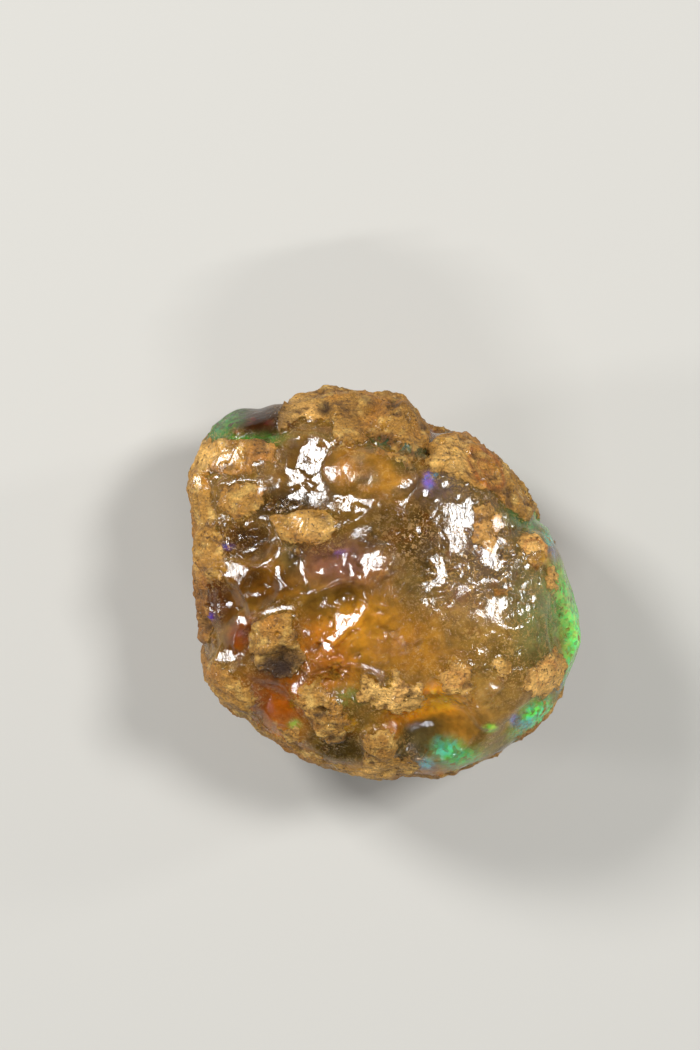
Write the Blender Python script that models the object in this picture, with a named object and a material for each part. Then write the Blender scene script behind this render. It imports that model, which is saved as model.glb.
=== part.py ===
"""Rough Ethiopian opal: one natural nodule, lying on its back with its best face up.

The stone starts as a sphere from Blender's icosphere. Its points are moved out to an outline seen
from above and a dome above and below it. Broad facets, shell-shaped fractures, lumps, ledges of
host rock and pits are then worked into it, and a plane cut gives the flat that it rests on.
Lengths are in millimetres until the last step, which scales the mesh to metres.
"""
import math

import bmesh
import bpy
import numpy as np

# Driving dimensions of the finished stone, in millimetres.
WIDTH = 46.1
LENGTH = 46.3
THICKNESS = 30.0
FRONT_DOME = 13.2
BACK_DOME = 18.4
MM = 0.001

# How finely the sphere is divided, and how many triangles the finished stone keeps.
SPHERE_STEPS = 7
KEPT_TRIANGLES = 9300

# Fullness of the domes: below 1 the sides stand steeper than an ellipsoid's.
FRONT_FULLNESS = 0.74
BACK_FULLNESS = 0.70
DOME_FULLNESS = 0.84
OUTLINE_SECTORS = 90

# The outline from above: angle in degrees from +X, and reach in millimetres.
OUTLINE = (
    (0, 21.8), (11, 20.5), (22, 19.8), (35, 19.7), (49, 19.6), (64, 19.8), (71, 19.2), (76, 19.5),
    (79, 20.8), (84, 22.2), (95, 22.4), (106, 24.0), (118, 24.0), (126, 25.4), (132, 27.0),
    (137, 27.3), (143, 26.8), (152, 25.9), (162, 23.9), (171, 22.6), (180, 22.1), (191, 22.2),
    (200, 23.0), (208, 23.7), (217, 23.8), (226, 23.2), (238, 23.1), (256, 22.9), (265, 23.3),
    (277, 23.0), (284, 23.8), (298, 24.0), (315, 24.6), (322, 24.6), (332, 24.2), (344, 23.9),
    (352, 23.0),
)

# Broad facets: the way each one faces, and its distance from the middle.
FACETS = (
    ((-0.50, 0.62, 0.60), 21.0), ((-0.82, -0.05, 0.57), 20.0), ((-0.50, -0.60, 0.62), 20.4),
    ((0.02, 0.80, 0.60), 18.4), ((0.58, 0.60, 0.55), 18.6), ((0.80, 0.05, 0.60), 20.0),
    ((0.45, -0.70, 0.55), 22.4), ((0.10, 0.02, 0.99), 12.9), ((-0.30, 0.20, 0.93), 14.4),
    ((-0.15, -0.45, 0.88), 15.9), ((-0.80, 0.40, -0.45), 22.2), ((0.75, 0.45, -0.50), 19.8),
    ((0.20, -0.85, -0.48), 20.9), ((-0.60, -0.45, -0.66), 20.2), ((0.30, 0.72, -0.62), 19.6),
    ((0.62, -0.38, -0.68), 20.4), ((-0.28, 0.55, -0.78), 19.2),
)
FACET_BLEND = 0.9

# Shell-shaped fractures: x, y, side, half length, half width, turn in degrees, depth.
SCOOPS = (
    (4.3, -16.7, 1, 6.2, 4.9, 20, 2.6), (-8.6, 2.0, 1, 4.9, 2.5, -4, 1.3),
    (-3.0, 3.4, 1, 3.5, 3.2, 30, 1.0), (-18.9, -2.6, 1, 2.8, 2.8, 0, 0.8),
    (-16.0, -6.9, 1, 2.2, 2.7, -35, 1.5), (-4.6, -1.4, 1, 3.4, 1.8, 8, 1.1),
    (-14.8, -0.6, 1, 3.2, 2.2, 0, 1.0), (-9.3, 12.8, 1, 3.6, 4.2, -15, 0.7),
    (-3.9, 9.6, 1, 2.3, 2.0, 30, 0.5), (-6.9, -3.6, 1, 2.9, 4.6, -40, 1.4),
    (-8.2, -7.0, 1, 2.1, 2.4, -40, 1.0), (-15.4, 4.4, 1, 3.2, 2.1, 10, 1.0),
    (8.6, 7.0, 1, 3.0, 3.6, -20, 0.5), (13.6, -2.2, 1, 3.0, 2.2, 0, 0.4),
    (-6.2, -11.8, 1, 3.0, 2.2, 35, 0.9), (20.6, -4.2, 1, 2.6, 5.4, 0, 0.8),
    (16.2, -15.4, 1, 4.6, 2.4, 40, 0.8), (-12.4, -14.6, 1, 3.4, 2.6, -35, 1.0),
    (7.5, 11.4, 1, 2.6, 2.4, 0, 0.8), (-11.5, 9.2, 1, 3.4, 1.4, 0, 0.6),
    (9.0, 9.5, -1, 7.0, 5.2, 30, 2.2), (-12.5, -6.0, -1, 6.2, 4.6, -25, 2.0),
    (13.5, -9.0, -1, 4.6, 5.6, 10, 1.7), (-8.0, 14.0, -1, 5.4, 4.0, 15, 1.6),
    (0.5, -17.0, -1, 5.6, 3.8, 0, 1.6), (18.5, 5.0, -1, 3.2, 4.2, 0, 1.2),
)
SCOOP_FLATNESS = 6.0
SCOOP_BLEND = 0.55

# Rounded swellings: x, y, side, half length, half width, turn in degrees, rise.
LUMPS = (
    (1.7, 19.2, 1, 2.9, 2.8, 0, 2.1), (-6.2, 20.8, 1, 4.6, 2.6, 10, 1.2),
    (-0.6, 12.9, 1, 3.6, 2.7, -12, 0.5), (-4.6, 13.6, 1, 2.5, 2.4, 0, 0.2),
    (12.2, 12.9, 1, 3.6, 2.4, -48, 0.9), (-21.0, 6.0, 1, 1.6, 4.6, 0, 0.8),
    (-6.6, -14.8, 1, 2.6, 2.9, -30, 1.0), (-0.4, -19.0, 1, 2.3, 2.2, 0, 0.9),
    (17.5, 3.4, 1, 2.4, 2.6, -30, 0.7), (-17.6, -12.3, 1, 3.4, 2.8, -50, 0.9),
    (5.5, -3.6, 1, 5.0, 3.6, 0, 0.6), (13.6, -13.2, 1, 3.6, 2.8, 30, 0.5),
    (-16.4, 18.2, 1, 4.6, 3.0, 22, 0.7), (-15.0, 6.5, -1, 4.4, 3.6, 0, 1.4),
    (4.0, -8.5, -1, 4.8, 3.6, 30, 1.1), (-3.0, 19.0, -1, 4.6, 2.8, 0, 1.3),
    (-8.0, -16.0, -1, 4.0, 3.0, 20, 1.2),
)
LUMP_FLATNESS = 2.4
LUMP_BLEND = 1.0

# Ledges of sandy host rock: side, rise, and the corners of each one from above.
LEDGES = (
    (1, 0.9, ((-12.3, 20.2), (-10.6, 22.8), (-3.7, 24.5), (2.2, 24.0), (5.6, 21.0), (5.3, 16.6),
              (3.5, 14.8), (1.3, 16.6), (-1.8, 17.1), (-4.5, 18.7), (-9.8, 19.2), (-12.5, 17.8))),
    (1, 1.0, ((-6.3, 18.5), (-3.8, 18.9), (-1.9, 16.8), (-3.9, 15.7), (-5.9, 16.9))),
    (1, 0.8, ((5.0, 16.6), (8.2, 17.6), (12.0, 16.4), (15.0, 13.6), (18.4, 9.6), (17.4, 7.4),
              (14.9, 8.7), (12.5, 10.0), (9.4, 11.2), (5.4, 12.6))),
    (1, 0.6, ((-22.6, 16.2), (-20.1, 15.6), (-17.0, 15.9), (-12.7, 16.2), (-12.6, 14.0),
              (-13.7, 12.5), (-16.8, 12.2), (-20.2, 12.7), (-20.9, 10.8), (-20.1, 8.2),
              (-19.6, 4.3), (-18.9, 1.4), (-20.8, -0.9), (-20.9, -6.8), (-24.0, -9.0), (-24.0, 2.6),
              (-25.0, 11.0))),
    (1, 0.3, ((-18.9, 10.8), (-15.6, 11.5), (-14.2, 10.6), (-13.5, 8.7), (-15.6, 7.7), (-17.5, 7.0),
              (-19.5, 8.8))),
    (1, 1.0, ((-13.2, 7.4), (-12.2, 7.7), (-10.9, 7.5), (-9.5, 8.1), (-7.0, 8.3), (-5.4, 6.8),
              (-5.9, 4.9), (-7.4, 4.1), (-11.9, 4.8), (-12.6, 6.4))),
    (1, 0.8, ((-15.6, -5.0), (-13.4, -3.8), (-10.8, -3.4), (-10.4, -5.4), (-10.0, -7.6),
              (-12.6, -8.4), (-15.2, -8.0))),
    (1, 0.6, ((-22.6, -8.6), (-20.2, -9.2), (-17.2, -10.8), (-15.2, -13.6), (-16.0, -16.1),
              (-18.7, -17.0), (-22.6, -13.4))),
    (1, 0.5, ((-10.4, -12.2), (-7.7, -11.7), (-5.3, -13.6), (-3.6, -16.4), (-4.7, -18.5),
              (-6.7, -18.7), (-9.3, -15.8))),
    (1, 0.22, ((-2.8, -10.7), (-1.1, -12.0), (0.2, -12.2), (1.0, -10.4), (2.3, -11.5), (4.4, -11.3),
               (4.4, -13.2), (1.7, -15.0), (-1.2, -14.6), (-2.8, -13.7))),
    (1, 0.25, ((-2.6, -18.7), (-0.9, -17.1), (0.9, -17.3), (1.5, -18.6), (1.2, -20.2),
               (-0.4, -21.1), (-2.2, -20.1))),
    (1, 0.12, ((5.7, -11.0), (7.6, -9.0), (9.4, -9.2), (9.7, -11.0), (9.3, -13.0), (6.2, -12.4))),
    (1, 0.16, ((15.6, -10.2), (18.1, -8.8), (19.3, -7.8), (20.6, -9.5), (20.6, -11.4),
               (18.9, -14.1), (16.9, -12.9), (15.8, -11.9))),
    (1, 0.22, ((14.9, 5.0), (16.6, 5.9), (18.9, 4.5), (18.7, 2.8), (17.5, 1.3), (15.9, 3.3))),
    (1, 0.16, ((10.3, 8.5), (11.9, 9.0), (13.0, 7.5), (13.3, 4.9), (12.0, 3.9), (10.3, 4.6))),
    (-1, 0.9, ((-24.0, 16.0), (-12.0, 25.0), (8.0, 24.0), (9.5, 18.5), (3.0, 14.5), (-3.5, 17.0),
               (-11.0, 14.0), (-17.0, 15.0), (-19.0, 8.0), (-24.0, 4.0))),
    (-1, 1.0, ((-24.0, -4.0), (-17.0, -2.5), (-9.5, -10.5), (-7.5, -17.5), (-12.0, -24.0),
               (-24.0, -18.0))),
    (-1, 0.8, ((11.5, 3.0), (17.0, 9.5), (14.5, 17.0), (24.0, 10.0), (24.0, -6.0), (17.5, -3.5))),
    (-1, 0.9, ((6.5, -12.5), (12.0, -14.5), (18.0, -12.0), (20.0, -20.0), (8.0, -25.0),
               (3.0, -20.5))),
)
LEDGE_EDGE = 0.7
LEDGE_WOBBLE = 0.3
WOBBLE_GRAIN = 1.7
# How high above (front) or below (back) the widest level the crust fades in.
CRUST_HEIGHTS = {1: (-3.5, -1.5), -1: (3.0, 6.0)}
# How much further down the sides it runs in places.
CRUST_RUN = 5.0
RUN_GRAIN = 6.0
RUN_START, RUN_FULL = -0.1, 0.5
# The ledges' edges stray sideways below the brow, where they run down the steep sides.
STRAY_GRAIN = 4.0
STRAY_REACH = 2.0
BROW_HEIGHT = 6.0
STEEP_HEIGHT = -4.0

# Pits and dark holes: x, y, side, reach, depth.
PITS = (
    (0.9, 20.6, 1, 0.75, 0.9), (2.9, 19.0, 1, 0.55, 0.5), (-6.8, 20.0, 1, 0.8, 1.0),
    (-11.4, -9.0, 1, 1.7, 0.8), (-13.2, -9.2, 1, 1.2, 0.5), (-4.4, -1.7, 1, 1.3, 0.8),
    (-7.3, -15.0, 1, 0.6, 0.9), (0.9, 15.8, 1, 0.9, 0.6), (5.0, 15.4, 1, 0.7, 0.7),
    (-14.6, 5.6, 1, 1.0, 0.7), (-20.5, -5.4, 1, 0.7, 0.6), (-9.0, 18.0, -1, 1.4, 1.2),
    (12.0, -17.5, -1, 1.5, 1.2), (-16.5, -10.5, -1, 1.3, 1.1), (20.0, 1.0, -1, 1.2, 1.0),
)

# Roughness of the whole surface: grain size and height of each layer of noise.
SWELL_GRAIN, SWELL_HEIGHT = 9.0, 0.55
KNOBBLE_GRAIN, KNOBBLE_HEIGHT = 3.2, 0.22
CRUST_GRAIN, CRUST_HEIGHT = 1.3, 0.2
# Seed of each noise, so that the stone comes out the same every time.
SWELL_SEED, KNOBBLE_SEED, CRUST_SEED = 3, 5, 7
WOBBLE_SEED, STRAY_SEED_X, STRAY_SEED_Y, RUN_SEED = 11, 13, 17, 19

# A reach that no point of the stone has, for rays that miss a cut.
OUT_OF_REACH = 999.0
# Below this slope a ray runs almost along a facet and never meets it.
LEAST_SLOPE = 0.05

OPAL_HONEY = (0.28, 0.13, 0.03, 1.0)


def remove_existing_objects():
    """Empty the scene of whatever it opened with."""
    for existing in list(bpy.data.objects):
        bpy.data.objects.remove(existing, do_unlink=True)


def smooth_step(low, high, value):
    """Rise from 0 at low to 1 at high with no corner at either end."""
    part = np.clip((value - low) / (high - low), 0.0, 1.0)
    return part * part * (3.0 - 2.0 * part)


def value_noise(points, grain, seed):
    """Smooth noise from -1 to 1: seeded random values on a lattice, blended between its knots."""
    knots = 32
    lattice = np.random.default_rng(seed).uniform(-1.0, 1.0, (knots, knots, knots))
    scaled = points / grain + 100.0
    cell = np.floor(scaled).astype(int)
    part = scaled - cell
    fade = part ** 3 * (part * (6.0 * part - 15.0) + 10.0)
    total = np.zeros(len(points))
    for corner in np.ndindex(2, 2, 2):
        index = (cell + corner) % knots
        weight = np.prod(np.where(corner, fade, 1.0 - fade), axis=1)
        total += weight * lattice[index[:, 0], index[:, 1], index[:, 2]]
    return total


def outline_reach(angle):
    """Reach of the outline at each angle, on a smooth closed curve through its points."""
    knot_angles = np.radians([knot[0] for knot in OUTLINE])
    knot_reach = np.array([knot[1] for knot in OUTLINE])
    fine = np.linspace(0.0, 2.0 * math.pi, 720, endpoint=False)
    straight = np.interp(fine, knot_angles, knot_reach, period=2.0 * math.pi)
    rounded = (np.roll(straight, 3) + 2.0 * straight + np.roll(straight, -3)) / 4.0
    return np.interp(angle, fine, rounded, period=2.0 * math.pi)


def domed_points(directions):
    """Move directions on a unit sphere out to the outline and the two domes."""
    angle = np.arctan2(directions[:, 1], directions[:, 0])
    across = np.hypot(directions[:, 0], directions[:, 1])
    fullness = np.where(directions[:, 2] > 0.0, FRONT_FULLNESS, BACK_FULLNESS)
    reach = outline_reach(angle) * across ** fullness
    dome = np.where(directions[:, 2] > 0.0, FRONT_DOME, BACK_DOME)
    height = np.sign(directions[:, 2]) * dome * np.abs(directions[:, 2]) ** DOME_FULLNESS
    return np.column_stack((reach * np.cos(angle), reach * np.sin(angle), height))


def surface_frame(points, x, y, side, turn):
    """Point of the dome at x, y on one side, with its normal and two turned tangents."""
    gap = np.hypot(points[:, 0] - x, points[:, 1] - y)
    gap += np.where(points[:, 2] * side < 0, OUT_OF_REACH, 0.0)
    place = points[int(np.argmin(gap))]
    half_width = WIDTH / 2.0
    dome = FRONT_DOME if side > 0 else BACK_DOME
    normal = place / np.array([half_width ** 2, half_width ** 2, dome ** 2])
    normal /= np.linalg.norm(normal)
    swing = np.array([math.cos(math.radians(turn)), math.sin(math.radians(turn)), 0.0])
    along = swing - normal * swing.dot(normal)
    along /= np.linalg.norm(along)
    return place, normal, along, np.cross(normal, along)


def ray_through_ellipsoid(rays, centre, axes, half_sizes, far_side):
    """Distance along each ray to an ellipsoid's near or far side, and 0 where it misses."""
    turned_rays = rays @ axes.T / half_sizes
    turned_centre = axes @ centre / half_sizes
    square = np.einsum("ij,ij->i", turned_rays, turned_rays)
    middle = turned_rays @ turned_centre
    inside_root = middle ** 2 - square * (turned_centre.dot(turned_centre) - 1.0)
    root = np.sqrt(np.maximum(inside_root, 0.0)) * (1.0 if far_side else -1.0)
    return np.where(inside_root > 0.0, (middle + root) / square, 0.0)


def smaller(first, second, blend):
    """The smaller of two lengths, with the corner between them rounded over the blend."""
    mix = np.clip(0.5 + 0.5 * (second - first) / blend, 0.0, 1.0)
    return second * (1.0 - mix) + first * mix - blend * mix * (1.0 - mix)


def carve_facets(points):
    """Cut the broad facets off the dome."""
    length = np.linalg.norm(points, axis=1)
    rays = points / length[:, None]
    for facing, distance in FACETS:
        normal = np.array(facing) / np.linalg.norm(facing)
        slope = rays @ normal
        reach = np.where(slope > LEAST_SLOPE, distance / np.maximum(slope, LEAST_SLOPE), OUT_OF_REACH)
        length = smaller(length, reach, FACET_BLEND)
    return rays * length[:, None]


def cap_sizes(half_length, half_width, depth, flatness):
    """Half sizes of an ellipsoid whose cap of this depth has this footprint."""
    spread = math.sqrt(1.0 - ((flatness - 1.0) / flatness) ** 2)
    return np.array([half_length / spread, half_width / spread, depth * flatness])


def carve_scoops(points):
    """Cut the shell-shaped fractures: each one is the near side of a flat ellipsoid."""
    length = np.linalg.norm(points, axis=1)
    rays = points / length[:, None]
    for x, y, side, half_length, half_width, turn, depth in SCOOPS:
        place, normal, along, across = surface_frame(points, x, y, side, turn)
        sizes = cap_sizes(half_length, half_width, depth, SCOOP_FLATNESS)
        centre = place + normal * (sizes[2] - depth)
        reach = ray_through_ellipsoid(rays, centre, np.array([along, across, normal]), sizes, False)
        length = smaller(length, np.where(reach > 1.0, reach, OUT_OF_REACH), SCOOP_BLEND)
    return rays * length[:, None]


def raise_lumps(points):
    """Raise the rounded swellings: each one is the far side of an ellipsoid set in the stone."""
    length = np.linalg.norm(points, axis=1)
    rays = points / length[:, None]
    for x, y, side, half_length, half_width, turn, rise in LUMPS:
        place, normal, along, across = surface_frame(points, x, y, side, turn)
        sizes = cap_sizes(half_length, half_width, rise, LUMP_FLATNESS)
        centre = place - normal * (sizes[2] - rise)
        reach = ray_through_ellipsoid(rays, centre, np.array([along, across, normal]), sizes, True)
        length = -smaller(-length, -reach, LUMP_BLEND)
    return rays * length[:, None]


def distance_inside(x, y, corners):
    """Distance from each point to a polygon's edge, positive inside it."""
    nearest = np.full(len(x), np.inf)
    inside = np.zeros(len(x), dtype=bool)
    for start, end in zip(corners, corners[1:] + corners[:1]):
        run = (end[0] - start[0], end[1] - start[1])
        from_start = (x - start[0], y - start[1])
        part = (from_start[0] * run[0] + from_start[1] * run[1]) / (run[0] ** 2 + run[1] ** 2)
        part = np.clip(part, 0.0, 1.0)
        gap = np.hypot(from_start[0] - part * run[0], from_start[1] - part * run[1])
        nearest = np.minimum(nearest, gap)
        spans = (start[1] > y) != (end[1] > y)
        crossing = start[0] + (y - start[1]) * run[0] / (run[1] if run[1] else 1.0)
        inside ^= spans & (x < crossing)
    return np.where(inside, nearest, -nearest)


def crust_cover(points):
    """Rise of the host rock's ledges, and how far each point is covered by them, 0 to 1."""
    rise = np.zeros(len(points))
    cover = np.zeros(len(points))
    wobble = LEDGE_WOBBLE * value_noise(points, WOBBLE_GRAIN, WOBBLE_SEED)
    stray = STRAY_REACH * smooth_step(BROW_HEIGHT, STEEP_HEIGHT, points[:, 2])
    x = points[:, 0] + stray * value_noise(points, STRAY_GRAIN, STRAY_SEED_X)
    y = points[:, 1] + stray * value_noise(points, STRAY_GRAIN, STRAY_SEED_Y)
    run_down = CRUST_RUN * smooth_step(RUN_START, RUN_FULL, value_noise(points, RUN_GRAIN, RUN_SEED))
    for side, height, corners in LEDGES:
        inside = distance_inside(x, y, corners) + wobble
        step = smooth_step(-LEDGE_EDGE / 2.0, LEDGE_EDGE / 2.0, inside)
        start, end = CRUST_HEIGHTS[side]
        step *= smooth_step(start, end, (points[:, 2] + run_down) * side)
        rise = np.maximum(rise, height * step)
        cover = np.maximum(cover, step)
    return rise, cover


def dig_pits(points):
    """Depth of the pits at each point: a round bowl with a soft rim."""
    depth = np.zeros(len(points))
    for x, y, side, reach, fall in PITS:
        gap = np.hypot(points[:, 0] - x, points[:, 1] - y) / reach
        depth += fall * np.exp(-gap ** 4) * (points[:, 2] * side > 0.0)
    return depth


def roughen(points):
    """Add the ledges, pits and the uneven ground of a rough stone, outward from its middle."""
    length = np.linalg.norm(points, axis=1)
    rise, cover = crust_cover(points)
    rise += SWELL_HEIGHT * value_noise(points, SWELL_GRAIN, SWELL_SEED)
    rise += KNOBBLE_HEIGHT * value_noise(points, KNOBBLE_GRAIN, KNOBBLE_SEED)
    rise += CRUST_HEIGHT * cover * value_noise(points, CRUST_GRAIN, CRUST_SEED)
    rise -= dig_pits(points)
    return points * (1.0 + rise / length)[:, None]


def fit_outline(points):
    """Bring the widest reach in each direction back to the outline."""
    angle = np.arctan2(points[:, 1], points[:, 0])
    across = np.hypot(points[:, 0], points[:, 1])
    sector = np.floor(angle / (2.0 * math.pi) % 1.0 * OUTLINE_SECTORS).astype(int)
    widest = np.zeros(OUTLINE_SECTORS)
    np.maximum.at(widest, sector, across)
    middles = (np.arange(OUTLINE_SECTORS) + 0.5) * 2.0 * math.pi / OUTLINE_SECTORS
    ratio = outline_reach(middles) / widest
    change = np.interp(angle, middles, ratio, period=2.0 * math.pi) - 1.0
    share = (across / outline_reach(angle)) ** 2
    return points * np.column_stack((1.0 + change * share, 1.0 + change * share, np.ones(len(points))))


def sphere_mesh(name):
    """A unit icosphere as a mesh."""
    ball = bmesh.new()
    bmesh.ops.create_icosphere(ball, subdivisions=SPHERE_STEPS, radius=1.0)
    mesh = bpy.data.meshes.new(name)
    ball.to_mesh(mesh)
    ball.free()
    return mesh


def shape_stone(mesh):
    """Move the sphere's points to the stone's surface."""
    directions = np.empty(len(mesh.vertices) * 3)
    mesh.vertices.foreach_get("co", directions)
    points = domed_points(directions.reshape(-1, 3))
    points = raise_lumps(carve_scoops(carve_facets(points)))
    points = fit_outline(roughen(points))
    mesh.vertices.foreach_set("co", points.ravel())
    mesh.update()


def thin_out(stone):
    """Keep the triangles where the surface bends, down to the number wanted."""
    thinning = stone.modifiers.new("Thin out", "DECIMATE")
    thinning.ratio = KEPT_TRIANGLES / len(stone.data.polygons)
    bpy.context.view_layer.update()
    evaluated = stone.evaluated_get(bpy.context.evaluated_depsgraph_get())
    thinned = bpy.data.meshes.new_from_object(evaluated)
    stone.modifiers.clear()
    stone.data = thinned


def cut_resting_face(stone):
    """Cut the underside to one flat face, a full thickness below the highest point."""
    body = bmesh.new()
    body.from_mesh(stone.data)
    floor = max(vertex.co.z for vertex in body.verts) - THICKNESS
    geometry = body.verts[:] + body.edges[:] + body.faces[:]
    cut = bmesh.ops.bisect_plane(
        body, geom=geometry, plane_co=(0.0, 0.0, floor), plane_no=(0.0, 0.0, -1.0),
        dist=0.0001, clear_outer=True)
    rim = [item for item in cut["geom_cut"] if isinstance(item, bmesh.types.BMEdge)]
    bmesh.ops.edgeloop_fill(body, edges=rim)
    bmesh.ops.recalc_face_normals(body, faces=body.faces[:])
    body.to_mesh(stone.data)
    body.free()


def bring_to_size(stone):
    """Scale to the driving dimensions in metres, centred over the origin and standing on it."""
    count = len(stone.data.vertices)
    flat = np.empty(count * 3)
    stone.data.vertices.foreach_get("co", flat)
    points = flat.reshape(-1, 3)
    low, high = points.min(axis=0), points.max(axis=0)
    size = np.array([WIDTH, LENGTH, THICKNESS])
    middle = (low + high) / 2.0
    points = (points - middle) * size / (high - low)
    points[:, 2] -= points[:, 2].min()
    stone.data.vertices.foreach_set("co", (points * MM).ravel())
    stone.data.update()


def opal_material():
    """Honey-brown stone with a wet polish."""
    material = bpy.data.materials.new("honey opal")
    material.use_nodes = True
    shader = material.node_tree.nodes["Principled BSDF"]
    shader.inputs["Base Color"].default_value = OPAL_HONEY
    shader.inputs["Roughness"].default_value = 0.22
    shader.inputs["Metallic"].default_value = 0.0
    return material


def rough_opal(collection):
    """The whole stone: opal and the host rock grown on it are one solid."""
    stone = bpy.data.objects.new("rough_opal", sphere_mesh("rough_opal"))
    collection.objects.link(stone)
    shape_stone(stone.data)
    thin_out(stone)
    cut_resting_face(stone)
    bring_to_size(stone)
    stone.data.materials.append(opal_material())
    return stone


def main():
    """Build the stone in a collection of its own."""
    remove_existing_objects()
    collection = bpy.data.collections.new("Rough opal")
    bpy.context.scene.collection.children.link(collection)
    rough_opal(collection)


main()
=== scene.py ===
"""Looks of the rough opal: one nodule of honey opal with host rock grown on it, on a pale floor.

The stone is a sphere of six square grids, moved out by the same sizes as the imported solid's
and then given the finer ground of the real stone: ripples on its fractures, folded layers,
cracks, pores and grain. Every point also carries painted values, such as how far it is crust
and which colour flashes there, and the finish reads them. Lengths are in millimetres from the
stone's middle, and angles in degrees, except where a comment says otherwise.
"""
from __future__ import annotations

import logging
import math
from dataclasses import dataclass, field, replace
from enum import Enum
from functools import partial
from typing import Any

import bpy
import numpy as np
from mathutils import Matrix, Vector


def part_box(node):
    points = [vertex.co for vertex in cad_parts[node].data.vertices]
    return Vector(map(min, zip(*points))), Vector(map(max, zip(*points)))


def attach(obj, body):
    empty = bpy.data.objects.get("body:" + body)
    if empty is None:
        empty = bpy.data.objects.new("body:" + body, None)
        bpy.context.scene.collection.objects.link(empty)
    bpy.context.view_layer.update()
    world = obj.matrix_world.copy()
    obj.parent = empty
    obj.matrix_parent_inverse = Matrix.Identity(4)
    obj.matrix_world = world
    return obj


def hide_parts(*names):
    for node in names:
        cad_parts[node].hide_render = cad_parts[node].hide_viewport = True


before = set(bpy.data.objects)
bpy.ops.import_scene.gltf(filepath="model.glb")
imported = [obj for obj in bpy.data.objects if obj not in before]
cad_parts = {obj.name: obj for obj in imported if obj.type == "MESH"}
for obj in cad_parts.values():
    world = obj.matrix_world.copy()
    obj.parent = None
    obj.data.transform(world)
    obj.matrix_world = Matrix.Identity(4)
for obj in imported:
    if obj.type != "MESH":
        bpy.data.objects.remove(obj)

LOG = logging.getLogger("rough_opal")
MM = 0.001
FAR = 999.0
NODE = "rough_opal"
PIECE = "opal_stone"
Corners = tuple[tuple[float, float], ...]
# How far a spot's end on the stone's sides strays up and down, in times of its edge's warp.
SIDE_STRAY = 3.0
# Heights between which what is painted on one side of the stone fades in.
SIDE_FADE = (-5.0, -0.5)
# Rays that meet a plane at less than this slope count as meeting it at this one.
LEAST_SLOPE = 0.05
# A noise's lattice repeats after this many knots, and starts this many knots away.
LATTICE_KNOTS = 32
LATTICE_START = 100.0

# The camera looks straight down; the stone lies right of and below the middle of its frame.
PIXELS_PER_MM = 8.5
FRAME_HEIGHT_PX = 1050
OFFSET_PX = (33.6, 56.8)
LENS_MM = 120.0
SENSOR_MM = 36.0
RIM_HEIGHT = 15.0
EYE = (-OFFSET_PX[0] / PIXELS_PER_MM, OFFSET_PX[1] / PIXELS_PER_MM,
       RIM_HEIGHT + FRAME_HEIGHT_PX / PIXELS_PER_MM * LENS_MM / SENSOR_MM)


def linear(code: str) -> tuple[float, float, float, float]:
    """Turn an sRGB hex colour into linear values.

    Each channel c is c / 12.92 below 0.04045 and ((c + 0.055) / 1.055) ** 2.4 above it.

    Args:
        code: six hex digits after a hash.

    Returns:
        Red, green, blue and an alpha of 1.
    """
    channels = [int(code[place:place + 2], 16) / 255.0 for place in (1, 3, 5)]
    red, green, blue = (
        value / 12.92 if value <= 0.04045 else ((value + 0.055) / 1.055) ** 2.4
        for value in channels)
    return red, green, blue, 1.0


def smooth_step(low: float, high: float, value: np.ndarray) -> np.ndarray:
    """Rise from 0 at low to 1 at high: 3 t^2 - 2 t^3 of the part t of the way between."""
    part = np.clip((value - low) / (high - low), 0.0, 1.0)
    return part * part * (3.0 - 2.0 * part)


def value_noise(points: np.ndarray, grain: float, seed: int) -> np.ndarray:
    """Smooth noise from -1 to 1: seeded values on a lattice, blended by 6t^5 - 15t^4 + 10t^3.

    Args:
        points: places, one row each.
        grain: distance between lattice knots.
        seed: which lattice of random values to use.

    Returns:
        One value for each point.
    """
    lattice = np.random.default_rng(seed).uniform(-1.0, 1.0, (LATTICE_KNOTS,) * 3)
    scaled = points / grain + LATTICE_START
    cell = np.floor(scaled).astype(int)
    part = scaled - cell
    fade = part ** 3 * (part * (6.0 * part - 15.0) + 10.0)
    total = np.zeros(len(points))
    for corner in np.ndindex(2, 2, 2):
        index = (cell + corner) % LATTICE_KNOTS
        weight = np.prod(np.where(corner, fade, 1.0 - fade), axis=1)
        total += weight * lattice[index[:, 0], index[:, 1], index[:, 2]]
    return total


def rays_of(points: np.ndarray) -> tuple[np.ndarray, np.ndarray]:
    """Each point's direction from the stone's middle, and its distance from there."""
    length = np.linalg.norm(points, axis=1)
    return points / length[:, None], length


def lifted(points: np.ndarray, rise: np.ndarray) -> np.ndarray:
    """Points moved outward from the stone's middle by a rise each."""
    return points * (1.0 + rise / np.linalg.norm(points, axis=1))[:, None]


def smaller(first: np.ndarray, second: np.ndarray, blend: float) -> np.ndarray:
    """The smaller of two lengths, with a parabola of the blend's width over their corner."""
    mix = np.clip(0.5 + 0.5 * (second - first) / blend, 0.0, 1.0)
    return second * (1.0 - mix) + first * mix - blend * mix * (1.0 - mix)


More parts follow.
